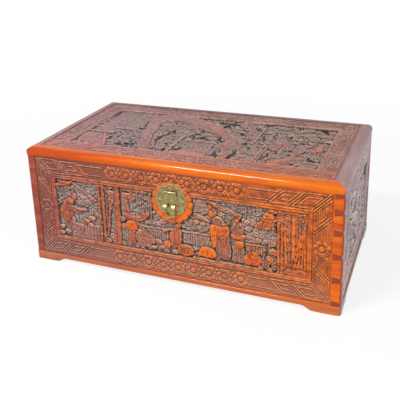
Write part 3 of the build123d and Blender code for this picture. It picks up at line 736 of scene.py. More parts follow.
def under_boss(pen):
    """A seated player with a drum and a curled rock under the lock's boss."""
    wall(pen, 12, 46, 56, 72.5)
    stones(pen, [(-14, 80, 5), (-6, 84, 4), (20, 84.5, 6.5), (13, 79, 4), (28, 83, 4)], MID - 0.7, 0.15)
    stones(pen, [(-16, 46, 4.6), (-10, 42, 4), (1, 42.5, 4)], MID, 0.2)
    robe(pen, [(3, 75), (9, 73.5), (10.5, 64), (9, 51), (0, 49), (-4, 56), (-5.5, 65), (-2, 72)],
         [[(1, 71), (-1.5, 53)], [(5, 71), (4.5, 52)], [(8, 69), (8, 54)]], NEAR - 0.1, 0.6)
    drape(pen, ((0, 73), (9, 73)), ((-3, 51), (9, 52)), 4, NEAR - 0.1, (0.75, 0.4))
    robe(pen, [(3, 72), (-4, 70.5), (-12, 66), (-15, 68), (-13, 71), (-5, 74)], [[(-9, 69), (0, 71.5)]],
         NEAR, 0.3, 1.6)
    head(pen, 5.8, 78, 3.6, -1)
    pen.lay(oval(-8.5, 51.5, 4.8, 5.6), NEAR, 1.6, 3.5, 0.9, 0.85)
    pen.score([(-12.5, 54), (-8.5, 55.5), (-4.5, 54)], 0.9, 0.4)
    pen.score([(-12.5, 49), (-8.5, 48), (-4.5, 49)], 0.9, 0.4)
    robe(pen, [(5, 53), (12, 55.5), (20, 55), (25, 51), (25, 43), (17, 40.5), (8, 41.5), (4, 47)],
         [[(10, 48), (14, 51), (19, 49), (18.5, 45), (14.5, 44.5), (14, 47)]], NEAR - 0.1, 0.8, 3.0)
    pen.ridge([(5, 52.5), (12, 55), (20, 54.5), (25, 50.5)], 2.0, 0.6, 0.0)


def elders(pen):
    """Two figures in long robes between a pavilion's roof, rocks and a low wall."""
    hanging(pen, 84, 101, 100, 119, 8, FAR + 0.3, 0.1)
    roof(pen, 34, 99, 26, 19, FAR + 0.6, 0.2)
    pen.ridge([(22, 108.5), (34, 109.5), (42, 108.5)], 2.0, 0.6, 0.6)
    robe(pen, [(26, 98.5), (33, 98), (40, 95), (47, 91), (45, 88), (37, 90), (28, 93)],
         [[(29, 96), (44, 90.5)]], MID, 0.6, 1.8)
    stones(pen, [(29, 86.5, 4.5), (37, 85.5, 4), (98, 95, 5), (91, 96, 4.5)], MID - 0.6, 0.35)
    leaf_knots(pen, [(27.5, 79, 3.6), (34, 79.5, 3.8), (40.5, 79.5, 3.6), (45, 82, 3)], MID - 0.4, 0.15)
    wall(pen, 12, 46, 57, 72.5, MID - 0.5)
    limb(pen, [(41, 118, 3), (51, 112.5, 4.6), (61, 108.5, 5.4), (72, 105.5, 5.4), (83, 103, 4.6)],
         MID + 0.3, 0.3)
    waves(pen, 89, 125, 73, 89, 3)
    stones(pen, [(93, 88, 5), (101, 83, 5.5), (110, 82, 5), (93, 78, 4.6), (104, 75.5, 4.8),
                 (114, 76, 4.4)], MID - 0.3, 0.05)
    wall(pen, 90, 113, 56, 70, MID + 0.3, 0.45)
    planks(pen, 88, 126, 40, 58, 11, FAR, (0.05,))
    leaf_knots(pen, [(36.5, 60, 3.6), (43, 61.5, 4), (50, 60, 3.6)], MID, 0.2)
    robe(pen, [(31, 45), (32.5, 52), (38, 56.5), (46, 57), (52.5, 53), (54, 45), (42, 43)],
         [[(36, 47), (40, 54)], [(43, 46), (44, 55)], [(49, 46), (48, 53)]], NEAR, 1.0, 3.0)
    robe(pen, [(56, 74), (68, 74), (71.5, 60), (70.5, 45), (57, 45), (55, 58)],
         [[(59, 71), (58.5, 47)], [(62.5, 71), (62.5, 47)], [(67, 71), (67.5, 47)]], NEAR - 0.7, 0.25)
    robe(pen, [(49, 97), (55, 99), (62, 96), (67, 88), (64, 83), (52, 83)],
         [[(51, 96), (56, 89), (61, 95)], [(56, 89), (57, 84)]], NEAR - 0.5, 0.1)
    drape(pen, ((50, 95), (64, 91)), ((53, 84), (67, 85)), 4, NEAR - 0.4, (0.25, 0.0))
    drape(pen, ((57, 74), (68.5, 73)), ((57.5, 45.5), (70, 46)), 5, NEAR - 0.6, (0.7, 0.1, 0.25))
    robe(pen, [(48, 85), (53, 88.5), (60, 87), (67, 88.5), (71, 83), (69, 73), (61, 70.5), (54, 71),
               (49, 75)],
         [[(57, 85), (58, 73)], [(62, 85), (64, 73)], [(66, 85), (68, 75)]], NEAR, 0.9)
    robe(pen, [(46.5, 85), (52, 87), (55, 77), (54.5, 64), (51.5, 57), (48.5, 65), (46.5, 76)],
         [[(49.5, 82), (51, 63)], [(52, 82), (53, 66)]], NEAR + 0.15, 1.0)
    robe(pen, [(60, 74), (66, 75), (66.5, 66), (63.5, 61), (60.5, 67)], [[(63, 72), (63.5, 64)]],
         NEAR + 0.1, 0.3, 1.8)
    pen.lay(stroke([(62, 89), (70, 91.5)], 3.0), NEAR, 0.8, 1.4, 0.6, 0.1)
    head(pen, 49.5, 101, 4.6, -1)
    pen.lay(disc(47.6, 109.5, 2.8), NEAR, 1.0, 2.2, 0.8, 0.9)
    robe(pen, [(74, 64), (87, 64), (88.5, 52), (87.5, 44), (74.5, 44), (73.5, 53)],
         [[(77, 61), (76.5, 46)], [(80.5, 61), (80.5, 46)], [(84.5, 61), (85, 46)]], MID + 0.3, 0.12)
    robe(pen, [(75, 93), (79.5, 95.5), (85, 93.5), (88, 86), (86.5, 77), (75, 77), (73.5, 86)],
         [[(75, 92), (80, 87), (84.5, 91.5)], [(80, 87), (80, 80)]], MID + 0.7, 0.05)
    drape(pen, ((76, 92), (85, 92)), ((76, 78), (86, 78)), 4, MID + 0.8, (0.15, 0.0))
    drape(pen, ((77, 63), (85.5, 63)), ((75.5, 45), (86.5, 45)), 4, MID + 0.5, (0.1, 0.0, 0.3))
    robe(pen, [(73, 80), (80, 78), (88, 80.5), (90, 77), (84, 74), (76, 73.5), (72, 76)],
         [[(75, 77), (86, 77)]], NEAR, 0.85, 1.6)
    robe(pen, [(77, 71), (86, 71), (88, 66), (83, 62), (77, 64.5)], [[(80, 69), (81, 64)]], NEAR, 0.95, 1.8)
    head(pen, 79.5, 98.5, 4.0, 1, hat=True)
    lattice(pen, [(87, 51), (93, 59), (99, 62.5), (106, 57), (110, 50), (104, 43.5), (93, 43.5)])
    pen.lay(box(24, 108, 38.5, 41.6), NEAR, 0.6, 0.8, 0.6, 0.05)


def pine_and_stalks(pen):
    """A layered pine, knots of leaves, posts and stalks that spread from a bank."""
    post(pen, 117.5, 72, 96, 2.6, MID, 0.15)
    hanging(pen, 106, 125, 78, 94, 8, FAR + 0.4, 0.05)
    pine_pad(pen, 112.5, 92.5, 23, 10)
    pine_pad(pen, 117, 102, 16, 11, NEAR + 0.1, 1.0)
    leaf_knots(pen, [(120, 116, 5)], NEAR, 0.9)
    leaf_knots(pen, [(121.5, 63.5, 4.8), (118, 54.5, 4.8)], NEAR, 0.85)
    leaf_knots(pen, [(113.5, 47.5, 4.6), (124.5, 47.5, 4.8), (107.5, 41.5, 3.6), (118, 41, 3.6)],
               NEAR - 0.2, 0.45)
    planks(pen, 126, 162, 38, 120, 9, NEAR - 0.6, (0.6, 0.4, 0.5))
    for number, x in enumerate((128.2, 132.2, 135.8)):
        stalk = [(x + 0.8 * number, 46), (x - 0.4 * number, 106 - 3 * number)]
        pen.lay(stroke(stalk, 2.6), NEAR, 0.8, 1.3, 0.4, 0.8)
    for foot, top in ((138, 134), (141.5, 137.5)):
        pen.lay(stroke([(foot, 48), (top, 98)], 1.7), NEAR - 0.2, 0.6, 0.8, 0.4, 0.6)
    post(pen, 145.2, 60, 116, 3.8, NEAR + 0.1, 0.95)
    for foot in (141, 145.5, 150, 154.5, 158.5):
        pen.lay(stroke([(foot, 47), (157.5, 102)], 2.0), NEAR, 0.6, 1.0, 0.4, 0.9)
    robe(pen, [(134, 43), (140, 48.5), (147, 47), (153, 49), (161, 46.5), (162, 39), (150, 38), (138, 38.5)],
         [[(140, 42), (147, 44), (155, 42)]], NEAR - 0.4, 0.6)
    leaf_knots(pen, [(129.5, 116, 4.8), (129.5, 106, 4.6), (138.5, 117, 4.2), (137.5, 109.5, 4)], NEAR, 0.85)
    leaf_knots(pen, [(147.5, 116.5, 4.8), (155.5, 108, 5), (157, 116.5, 4)], NEAR - 0.1, 0.8)


def front_scene(pen):
    """A garden of figures, trees, walls and rocks, from left to right."""
    thicket(pen, -161, -102, 84, 118, 4.8, FAR + 0.2, 0.1)
    thicket(pen, -60, -8, 56, 108, 4.4, FAR + 0.1, 0.1)
    thicket(pen, 12, 125, 74, 118, 5.0, FAR + 0.2, 0.12)
    thicket(pen, -161, 161, 40, 56, 4.4, FAR + 0.2, 0.15)
    left_bay(pen)
    garden(pen)
    first_posts(pen)
    under_boss(pen)
    elders(pen)
    pine_and_stalks(pen)


def boss(pen):
    """The scalloped wooden boss that the lock plate is nailed to."""
    centre = lid_line - boss_drop
    rim = flower(0, centre, boss_radius, boss_lobes, boss_lobe_radius)
    pen.lay(rim, 0.75, 0.72, 2.6, 1.0, 1.0)
    pen.sink(disc(0, centre, boss_radius - 5.4), 0.05, 1.0)
    for number in range(boss_lobes):
        turn = math.tau * (number + 0.5) / boss_lobes
        ends = [
            (radius * math.cos(turn), centre + radius * math.sin(turn))
            for radius in (boss_radius - 5.0, boss_radius - 0.8)
        ]
        pen.score(ends, 1.7, 0.7)


def plate(pen):
    """The lock plate's raised rim, petals, dots and ring, in heights above its face."""
    petal_ring, rib_start, rib_end, dot_ring = 14.4, 11.5, 17.2, 11.2
    rim = flower(0, lid_line, plate_radius - 0.35, plate_lobes, plate_lobe_radius - 0.2)
    pen.lay(rim, 0.34, 0.2, 0.7, 0, 1.0)
    inner = flower(0, lid_line, plate_radius - 1.9, plate_lobes, plate_lobe_radius - 1.1)
    pen.sink(inner, 0.07, 0.4)
    for number in range(plate_lobes):
        turn = math.tau * number / plate_lobes
        cos, sin = math.cos(turn), math.sin(turn)
        petal = (petal_ring * cos, lid_line + petal_ring * sin)
        pen.lay(oval(*petal, 3.6, 2.6, math.degrees(turn)), 0.26, 0.16, 1.4, 0.0, 0.8)
        rib = [(reach * cos, lid_line + reach * sin) for reach in (rib_start, rib_end)]
        pen.score(rib, 0.8, 0.18, False)
        between_turn = turn + math.pi / plate_lobes
        dot = (dot_ring * math.cos(between_turn), lid_line + dot_ring * math.sin(between_turn))
        pen.lay(disc(*dot, 1.1), 0.24, 0.14, 0.8, 0.0, 0.7)
    pen.lay(disc(0, lid_line, 9.4), 0.26, 0.12, 0.6, 0.0, 0.8)
    pen.sink(disc(0, lid_line, 8.5), 0.08, 0.3)


# The lid's top and the two ends
def top_screen(pen):
    """A plank screen, a curved roof and a hull in the left of the lid."""
    planks(pen, -156, -122, -2, 70, 5, MID - 0.1, (0.35, 0.25))
    planks(pen, -122, -99, -1, 71, 8, MID - 0.3, (0.2, 0.45))
    pen.lay(stroke([(-158, 71), (-157, 40), (-160, 6)], 2.2), NEAR - 0.6, 0.7, 1.1, 1.0, 0.4)
    pen.lay(box(-160, -98, -3.5, 0), MID + 0.5, 0.6, 1.0, 0.8, 0.35)
    roof(pen, -140, -23, 36, 17, MID + 0.3, 0.3)
    robe(pen, [(-158, -29), (-140, -26), (-128, -30), (-120, -44), (-112, -62), (-122, -66), (-140, -64),
               (-156, -58)], [[(-150, -34), (-148, -60)], [(-138, -32), (-130, -60)]], MID + 0.4, 0.6, 4.0)
    limb(pen, [(-131, -30, 3.6), (-122, -47, 4), (-112.5, -66, 4)], NEAR, 1.0)
    thicket(pen, -118, -100, -52, -6, 4.2, MID + 0.1, 0.35)
    stones(pen, [(-104, -62, 5), (-95, -68, 5), (-120, -70, 5), (-150, -68, 6), (-136, -69, 5)],
           NEAR - 0.5, 0.45)


def top_arch(pen):
    """The old pine that arches over the lid, with what grows and stands under it."""
    thicket(pen, -76, -20, -30, 42, 4.6, MID - 0.5, 0.25)
    robe(pen, [(-71, 27), (-60, 30), (-47, 26), (-46, 12), (-56, 7), (-70, 10)],
         [[(-66, 24), (-50, 12)], [(-60, 27), (-52, 20)]], MID + 0.3, 0.35, 4.0)
    robe(pen, [(-56, 36), (-40, 39), (-22, 36), (-20, 26), (-34, 22), (-52, 25)],
         [[(-50, 33), (-26, 30)], [(-46, 28), (-30, 26)]], MID + 0.3, 0.3, 4.0)
    pine_pad(pen, -38, 6, 24, 11, MID + 0.4, 0.35)
    pine_pad(pen, -30, -10, 20, 10, MID + 0.2, 0.3)
    hollow = [(-48, 13, 3), (-44, 3, 4), (-52, -8, 5), (-56, -16, 4), (-54, -38, 3)]
    pen.sink(stroke(hollow), FLOOR)
    limb(pen, [(-93, 52, 15), (-86, 28, 14), (-79, 2, 14), (-71, -26, 13), (-60, -58, 12), (-57, -72, 12)],
         MID + 0.5, 0.45)
    limb(pen, [(-63, -14, 4), (-58, -32, 5), (-49, -54, 5), (-44, -64, 5)], NEAR - 0.2, 0.9)
    post(pen, -25.5, -70, -6, 3.4, NEAR - 0.4, 0.4)
    thicket(pen, -46, -29, -66, -24, 4.0, MID, 0.3)
    planks(pen, -12, 22.5, -58, -22, 9, MID - 0.2, (0.6, 0.3))
    pen.lay(stroke([(-14, -22), (24, -22)], 2.6), NEAR - 0.6, 0.7, 1.2, 0.8, 0.5)
    pen.lay(box(-22, 25, -71, -60), MID + 0.4, 0.9, 2.4, 0.8, 0.75)
    under_arch = [(-80, 48, 6), (-62, 54, 8), (-44, 53, 9), (-26, 43, 10), (-14, 32, 9), (-6, 26, 4)]
    pen.sink(stroke(under_arch), MID)
    limb(pen, [(-97, 54, 9), (-84, 62, 11), (-66, 65.5, 11), (-46, 65, 11), (-30, 59, 12), (-16, 49, 14),
               (2, 37, 18), (20, 22, 14), (32, 8, 8)], NEAR, 0.75)
    tufts = (
        (14, 18), (26, 12), (30, 0), (38, -6), (36, -18),
        (45, -24), (42, -36), (48, -46), (44, -56), (48, -66),
    )
    for number, (at_u, at_v) in enumerate(tufts):
        lift, turn = NEAR - 0.7 * (number % 2), chance.uniform(30, 150)
        pen.lay(oval(at_u, at_v, 8.5, 5.0, turn), lift, 1.3, 3.0, 1.0, 0.8 - 0.55 * (number % 2))
        pine_fan(pen, at_u - 3, at_v - 4, 8, turn, 90, 5, lift + 0.1, 0.6)
    notches = 16
    for number in range(notches):
        share = number / (notches - 1)
        at_u, at_v = -96 + 118 * share, 54 + 42 * share - 74 * share**2
        lean = chance.uniform(-3, 3)
        pen.score([(at_u - 4, at_v - lean), (at_u, at_v + 1), (at_u + 4, at_v + lean)], 1.8, 0.7)
    for knot in ((-60, 65), (-8, 42), (12, 28)):
        pen.lay(oval(*knot, 4.2, 3.0, -40), NEAR, 1.0, 2.2, 1.0, 0.5)
    leaf_knots(pen, [(-97, 62, 4.6), (-89, 69, 4.2), (-20, 4, 4.4), (14, -6, 5), (4, 6, 5), (18, -16, 4)],
               NEAR - 0.7, 0.4)


def top_right(pen):
    """Posts, a leaning figure, branches, a railing, a plank and a bridge."""
    for x, low, high in ((67.8, -12, 52), (84.5, -68, 36), (88.0, -68, -14), (108, -40, 40)):
        post(pen, x, low, high, 2.8, NEAR - 0.3, 0.5)
    for foot, top in (((22, 61), (42, 66)), ((42, 66), (62, 70)), ((34, 70), (50, 60)), ((52, 52), (64, 60))):
        pen.lay(stroke([foot, top], 2.4), NEAR - 0.6, 0.7, 1.1, 0.7, 0.45)
    for y in (30.5, 35.0):
        pen.lay(stroke([(24, y), (45, y - 2)], 1.8), NEAR - 0.8, 0.6, 0.9, 0.6, 0.6)
    for y in (21.5, 26.5):
        pen.lay(stroke([(135, y), (161, y + 1)], 1.8), NEAR - 0.5, 0.6, 0.9, 0.6, 0.6)
    robe(pen, [(110, 11), (118, 8), (117, 2), (108, -4), (104, -14), (101, -24), (96, -22), (98, -8),
               (103, 5)],
         [[(112, 8), (103, -4), (99, -20)]], NEAR - 0.4, 0.75, 3.0)
    robe(pen, [(122, -4), (132, 2), (136, -12), (130, -26), (121, -22)],
         [[(126, 0), (127, -20)]], MID + 0.3, 0.4, 3.0)
    pen.lay(oval(151.5, -7, 4.6, 10, 6), NEAR + 0.2, 1.6, 4.5, 0.9, 1.0)
    bridge = [(132, -72), (134, -60), (141, -52), (150, -50), (162, -54), (162, -72)]
    under_bridge = [(136.5, -72), (138.5, -62), (144, -56), (151, -54.5), (162, -58), (162, -72)]
    pen.lay(outline(bridge), NEAR - 0.9, 0.8, 2, 1.0, 0.4)
    pen.sink(outline(under_bridge), FLOOR)
    for x in np.arange(139.5, 161, 4.2):
        pen.lay(stroke([(x, -71), (x + 1, -57)], 1.5), MID - 0.2, 0.5, 0.7, 0.3, 0.5)
    robe(pen, [(101, -67), (110, -70), (124, -58), (139, -46), (137, -40), (126, -42), (112, -54)],
         [[(106, -66), (134, -44)], [(112, -64), (132, -50)]], NEAR - 0.1, 0.8, 3.0)


def top_gaps(pen):
    """The deepest cuts between the lid's forms."""
    cuts = (
        ((-159, 68), (-156, 40), 6), ((-93.5, 26), (-93, 0), 3.4), ((-60, 46), (-56, 38), 4),
        ((-47, 12), (-52, -2), 5), ((-55, -6), (-57, -34), 4.5), ((-33, -56), (-34, -70), 7),
        ((-14, 0), (-12, -16), 4), ((20, 68), (24, 50), 4), ((24, 34), (28, 30), 5),
        ((30, -44), (33, -52), 6), ((56, -14), (59, -6), 5), ((55, -36), (53, -70), 5),
        ((108, 30), (107.5, 12), 4), ((126, 12), (128, 8), 6), ((140, 68), (150, 54), 8),
        ((160, 70), (161, 60), 4), ((-89, -50), (-84, -56), 8), ((66, -20), (70, -40), 4),
        ((96, -36), (92, -54), 4), ((74, 20), (78, 4), 4), ((-118, -6), (-100, -10), 4),
        ((0, 64), (14, 60), 4),
    )
    for start, end, width in cuts:
        middle = ((start[0] + end[0]) / 2 + 1, (start[1] + end[1]) / 2, width)
        line = [(*start, 0.7 * width), middle, (*end, 0.6 * width)]
        pen.sink(stroke(line), FLOOR)


def top_scene(pen):
    """An arching pine between a screen, posts, figures and a bridge, over a bank of leaves."""
    thicket(pen, -162, 162, -72, 72, 8.5, FAR + 0.9, 0.25)
    thicket(pen, 28, 160, -36, 66, 8.5, MID + 0.2, 0.5)
    thicket(pen, 56, 130, -70, -36, 7.5, MID + 0.2, 0.5)
    top_screen(pen)
    top_arch(pen)
    top_right(pen)
    top_gaps(pen)


def end_scene(pen):
    """A garden for an end of the chest: a bent pine, a pavilion, a scholar and rocks."""
    thicket(pen, -72, 72, 38, 120, 4.8, FAR + 0.5, 0.15)
    planks(pen, -72, 72, 38, 58, 30, FAR - 0.2, (0.1, 0.0))
    stones(pen, [(-60, 108, 8), (-46, 112, 7), (52, 110, 8), (66, 104, 7), (-66, 88, 6)], FAR, 0.1)
    waves(pen, -72, -34, 62, 84, 3, FAR + 0.6)
    roof(pen, 46, 86, 44, 15, MID + 0.3, 0.35)
    planks(pen, 30, 62, 46, 85, 9, MID - 0.4, (0.3, 0.1))
    post(pen, 28, 42, 86, 3.6, NEAR - 0.2, 0.5)
    post(pen, 64, 42, 86, 3.6, NEAR - 0.2, 0.5)
    limb(pen, [(-30, 40, 9), (-34, 58, 8), (-22, 76, 8), (-2, 88, 7), (14, 104, 5), (30, 112, 3)],
         NEAR - 0.1, 0.45)
    limb(pen, [(-26, 72, 5), (-44, 88, 4.4), (-58, 98, 3)], NEAR - 0.3, 0.4)
    pads = ((-56, 98, 26, 9), (-30, 104, 28, 10), (2, 106, 26, 9), (-40, 84, 20, 8), (28, 108, 22, 8))
    for pad in pads:
        pine_pad(pen, *pad, NEAR - 0.1, 0.45)
    robe(pen, [(-2, 72), (6, 76), (13, 71), (15, 56), (14, 43), (-3, 43), (-4, 58)],
         [[(1, 70), (0, 46)], [(5, 70), (5, 46)], [(10, 69), (10, 46)]], NEAR, 0.6)
    robe(pen, [(10, 71), (18, 67), (22, 61), (19, 58), (13, 61), (8, 66)], [[(12, 67), (19, 61)]],
         NEAR + 0.1, 0.5, 1.8)
    head(pen, 6, 80.5, 4.2, 1)
    stones(pen, [(-52, 48, 7), (-62, 43, 7), (-16, 44, 6), (22, 43, 5), (48, 43, 6), (66, 44, 5)],
           NEAR - 0.4, 0.3)
    leaf_knots(pen, [(-66, 58, 5), (-56, 60, 4.6), (-46, 56, 4.4), (70, 60, 4), (70, 74, 4)],
               NEAR - 0.2, 0.45)


# Faces and solids
class Face:
    """Where a carved face stands: its origin and directions, in millimetres."""

    def __init__(self, origin, across, up, outward):
        self.origin, self.across, self.up = np.array(origin), np.array(across), np.array(up)
        self.outward = np.array(outward)

    def points(self, u, v, height):
        """Places in metres of points given on the face."""
        spread = u[:, None] * self.across + v[:, None] * self.up + height[:, None] * self.outward
        return (self.origin + spread) * MM


def surface_marks(relief):
    """Painted shade in hollows and below edges, wear with painted highlight on upper edges, glow and depth
    per point.
    """
    height = relief.height
    wide_reach, fine_reach = 2.4, 0.9
    rows = max(1, round(fine_reach / relief.cell))
    wide = blurred(height, max(2, round(wide_reach / relief.cell))) - height
    fine = blurred(height, rows) - height
    above = np.concatenate([height[rows:], np.repeat(height[-1:], rows, axis=0)])
    # painted shadow below each raised edge, as if lit from above
    shadow_below_edge = np.clip((above - height) / 0.6, 0, 1)
    lit_upper_edge = np.clip((height - above) / 0.3, 0, 1)
    # hollows and the ground below raised edges, to be darkened: painted shade
    hollow_dirt_and_shade = 0.3 * np.clip(wide / 2.0, 0, 1) + 0.5 * np.clip(fine / 0.36, 0, 1) + 0.5 * shadow_below_edge
    # rubbed ridges, lightest on upper edges: wear and a painted highlight
    wear_and_highlight = np.clip(-fine / 0.2, 0, 1) * (0.3 + 0.7 * lit_upper_edge)
    depth = np.clip(height / FLOOR, 0, 1)
    return np.clip(hollow_dirt_and_shade, 0, 1), wear_and_highlight, relief.glow, depth


def runs(row):
    """First and last cell of each unbroken run in a row of cells."""
    change = np.flatnonzero(np.diff(np.pad(row.astype(int), 1)))
    return zip(change[::2], change[1::2])


def new_object(name, data):
    """An object that stands in the scene."""
    item = bpy.data.objects.new(name, data)
    bpy.context.scene.collection.objects.link(item)
    return item


def polygon_mesh(name, points, corners, sizes, smooth_count):
    """A mesh of polygons of given sizes, the first of them shaded smooth."""
    mesh = bpy.data.meshes.new(name)
    mesh.vertices.add(len(points))
    mesh.vertices.foreach_set("co", points.ravel())
    mesh.loops.add(len(corners))
    mesh.loops.foreach_set("vertex_index", corners)
    mesh.polygons.add(len(sizes))
    mesh.polygons.foreach_set("loop_start", np.cumsum(sizes) - sizes)
    smooth = np.arange(len(sizes)) < smooth_count
    mesh.update(calc_edges=True)
    mesh.polygons.foreach_set("use_smooth", smooth)
    return mesh


def relief_solid(name, face, relief, cells, back, body, material):
    """A closed slab over the chosen cells: carved surface, edges and flat back."""
    back_marks = 0.3
    ring = np.pad(cells, 1)
    around = (ring[:-1, :-1], ring[1:, :-1], ring[:-1, 1:], ring[1:, 1:])
    used = np.logical_or.reduce(around)
    rim = used & ~np.logical_and.reduce(around)
    index = np.cumsum(used).reshape(used.shape) - 1
    behind = np.cumsum(rim).reshape(rim.shape) - 1 + used.sum()
    front = face.points(relief.across[used], relief.up[used], relief.height[used])
    flat = np.full(rim.sum(), float(back))
    rear = face.points(relief.across[rim], relief.up[rim], flat)
    r, c = np.nonzero(cells)
    quads = [np.stack([index[r, c], index[r, c + 1], index[r + 1, c + 1], index[r + 1, c]], axis=1)]
    smooth_count = len(r)
    sides = (
        ((0, 0), (0, 1), (-1, 0)),
        ((1, 1), (1, 0), (1, 0)),
        ((1, 0), (0, 0), (0, -1)),
        ((0, 1), (1, 1), (0, 1)),
    )
    for (ar, ac), (br, bc), (nr, nc) in sides:
        edge = ~ring[r + 1 + nr, c + 1 + nc]
        a, b = (r[edge] + ar, c[edge] + ac), (r[edge] + br, c[edge] + bc)
        quads.append(np.stack([index[b], index[a], behind[a], behind[b]], axis=1))
    quads = np.concatenate(quads)
    strips = []
    for row in range(cells.shape[0]):
        for start, end in runs(cells[row]):
            span = np.arange(start, end + 1)
            upper = behind[row + 1, span[rim[row + 1, span]]]
            lower = behind[row, span[rim[row, span]]]
            strips.append(np.concatenate([upper, lower[::-1]]))
    corners = np.concatenate([quads.ravel(), *strips])
    sizes = np.array([4] * len(quads) + [len(strip) for strip in strips])
    points = np.concatenate([front, rear])
    mesh = polygon_mesh(name, points, corners, sizes, smooth_count)
    marks = np.ones((len(points), 4))
    for channel, values in enumerate(surface_marks(relief)):
        marks[: len(front), channel] = values[used]
        marks[len(front):, channel] = back_marks
    carving = mesh.attributes.new("carving", "FLOAT_COLOR", "POINT")
    carving.data.foreach_set("color", marks.ravel())
    mesh.validate()
    piece = new_object(name, mesh)
    mesh.materials.append(material)
    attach(piece, body)


def steps(low, high, cell):
    """Evenly spaced places from low to high, about a cell apart."""
    return np.linspace(low, high, max(2, round((high - low) / cell) + 1))


def keep_above_board(relief, face, boards):
    """Lifts the relief wherever it would dip below the boards that carry it."""
    points, polygons = [], []
    for name in boards:
        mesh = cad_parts[name].data
        start = len(points)
        points += [vertex.co.copy() for vertex in mesh.vertices]
        polygons += [[start + corner for corner in polygon.vertices] for polygon in mesh.polygons]
    tree = BVHTree.FromPolygons(points, polygons)
    start_height, ray_length, inward = 2.0, 10.0, Vector(-face.outward)
    u, v = relief.across.ravel(), relief.up.ravel()
    starts = face.points(u, v, np.full(u.size, start_height))
    board = np.full(u.size, FLOOR)
    for number, start in enumerate(starts.tolist()):
        distance = tree.ray_cast(start, inward, ray_length * MM)[3]
        if distance is not None:
            board[number] = start_height - distance / MM
    padded = np.pad(board.reshape(relief.height.shape), 1, mode="edge")
    rows, columns = relief.height.shape
    around = [padded[r : r + rows, c : c + columns] for r in range(3) for c in range(3)]
    least, added, bump_size, deep = 0.04, 0.06, 1.3, BAND_GROUND - 0.2
    rough = least + added * np.clip(relief.waver(bump_size), 0, 2)
    proud = np.max(around, axis=0) + np.where(padded[1:-1, 1:-1] < deep, rough, least)
    relief.height = np.maximum(relief.height, proud)


def weather(relief):
    """Softens the cut edges a little and leaves the marks of the gouge."""
    softening, high_mark, added_deep, mark_size, face_level = 0.25, 0.08, 0.14, 1.7, -0.3
    soft = (1 - softening) * relief.height + softening * blurred(relief.height, 1)
    depth = np.clip(soft / FLOOR, 0, 1)
    marked = soft + (high_mark + added_deep * depth) * relief.waver(mark_size)
    relief.height = np.where(soft > face_level, np.minimum(soft, marked), marked)


def cell_middles(relief):
    """Where the cells' middles are on the face."""
    return np.meshgrid((relief.u[1:] + relief.u[:-1]) / 2, (relief.v[1:] + relief.v[:-1]) / 2)


def cells_inside(relief, limits, edge):
    """How far up the face each cell's middle is, and which cells lie inside the bead."""
    left, right, bottom, top = limits
    across, up = cell_middles(relief)
    inside = (across > left + edge) & (across < right - edge) & (up > bottom + edge) & (up < top - edge)
    return up, inside


def carve_upright(name, face, reach, cell, scene, rosettes, material, boss_motif=None):
    """Carves one upright face, split at the lid line and at the bead's inner edge."""
    bottom, top = case_bottom + edge_strip, lid_top - edge_strip
    columns = steps(-reach + rim_slack, reach - rim_slack, cell)
    case_rows = steps(bottom + rim_slack, lid_line, cell)
    lid_rows = steps(lid_base, top - rim_slack, cell)
    relief = Relief(columns, np.concatenate([case_rows, lid_rows]), FLOOR)
    far_ground(relief)
    scene(Pen(relief))
    limits = (-reach, reach, bottom, top)
    # painted light on the front's border, brighter to the right
    right_light = 0.6 if boss_motif else 0.0
    border(relief, limits, band_width, bead_width, rosettes, upright_side_rosettes, right_light)
    if boss_motif:
        boss_motif(Pen(relief, shake=0.05))
    weather(relief)
    keep_above_board(relief, face, [f"{name}_board", f"lid_{name}_board"])
    up, inside = cells_inside(relief, limits, band_width + bead_width + bead_clearance)
    for part, cells, back in (("border", ~inside, border_back), ("scene", inside, scene_back)):
        for body, half in (("case", up < lid_line), ("lid", up > lid_base)):
            relief_solid(f"{name}_{part}_{body}", face, relief, cells & half, back, body, material)


def carve_top(face, material):
    """Carves the lid's top panel."""
    reach_u, reach_v = moulding_high[0] - moulding_width, half_trim_depth - moulding_width
    columns = steps(rim_slack - reach_u, reach_u - rim_slack, top_cell)
    rows = steps(rim_slack - reach_v, reach_v - rim_slack, top_cell)
    relief = Relief(columns, rows, FLOOR)
    far_ground(relief, 4.0)
    top_scene(Pen(relief))
    limits = (-reach_u, reach_u, -reach_v, reach_v)
    border(relief, limits, top_band_width, top_bead_width, top_rosettes, top_side_rosettes)
    # painted highlight: the carving brighter along the lid's near edge
    glow_start, glow_width, edge_glow = 60, 16, 0.45
    near_edge = np.clip((-relief.up - glow_start) / glow_width, 0, 1)
    relief.glow = np.clip(relief.glow + edge_glow * near_edge, 0, 1)
    weather(relief)
    keep_above_board(relief, face, ["lid_top_panel"])
    inside = cells_inside(relief, limits, top_band_width + top_bead_width + bead_clearance)[1]
    relief_solid("top_border", face, relief, ~inside, border_back, "lid", material)
    relief_solid("top_scene", face, relief, inside, scene_back, "lid", material)


def chase_plate(face, material):
    """The chased face of the lock plate, in two halves that part at the lid line."""
    columns = steps(-plate_radius, plate_radius, plate_cell)
    lower_rows = steps(lid_line - plate_radius, lid_line, plate_cell)
    upper_rows = steps(lid_base, lid_line + plate_radius, plate_cell)
    relief = Relief(columns, np.concatenate([lower_rows, upper_rows]), 0.05)
    plate(Pen(relief, shake=0.05))
    unevenness, lowest, highest = 0.015, 0.03, 0.35
    relief.height = np.clip(relief.height + unevenness * relief.waver(0.8), lowest, highest)
    across, up = cell_middles(relief)
    shape = flower(0, lid_line, plate_radius - 0.3, plate_lobes, plate_lobe_radius - 0.15)[1]
    cells = shape(across, up) < 0
    for part, body, half in (("lower", "case", up < lid_line), ("upper", "lid", up > lid_base)):
        name = f"plate_chasing_{part}"
        relief_solid(name, face, relief, cells & half, plate_back, body, material)


# Materials
GRAIN = {"x": (0.06, 1, 1), "y": (1, 0.06, 1)}


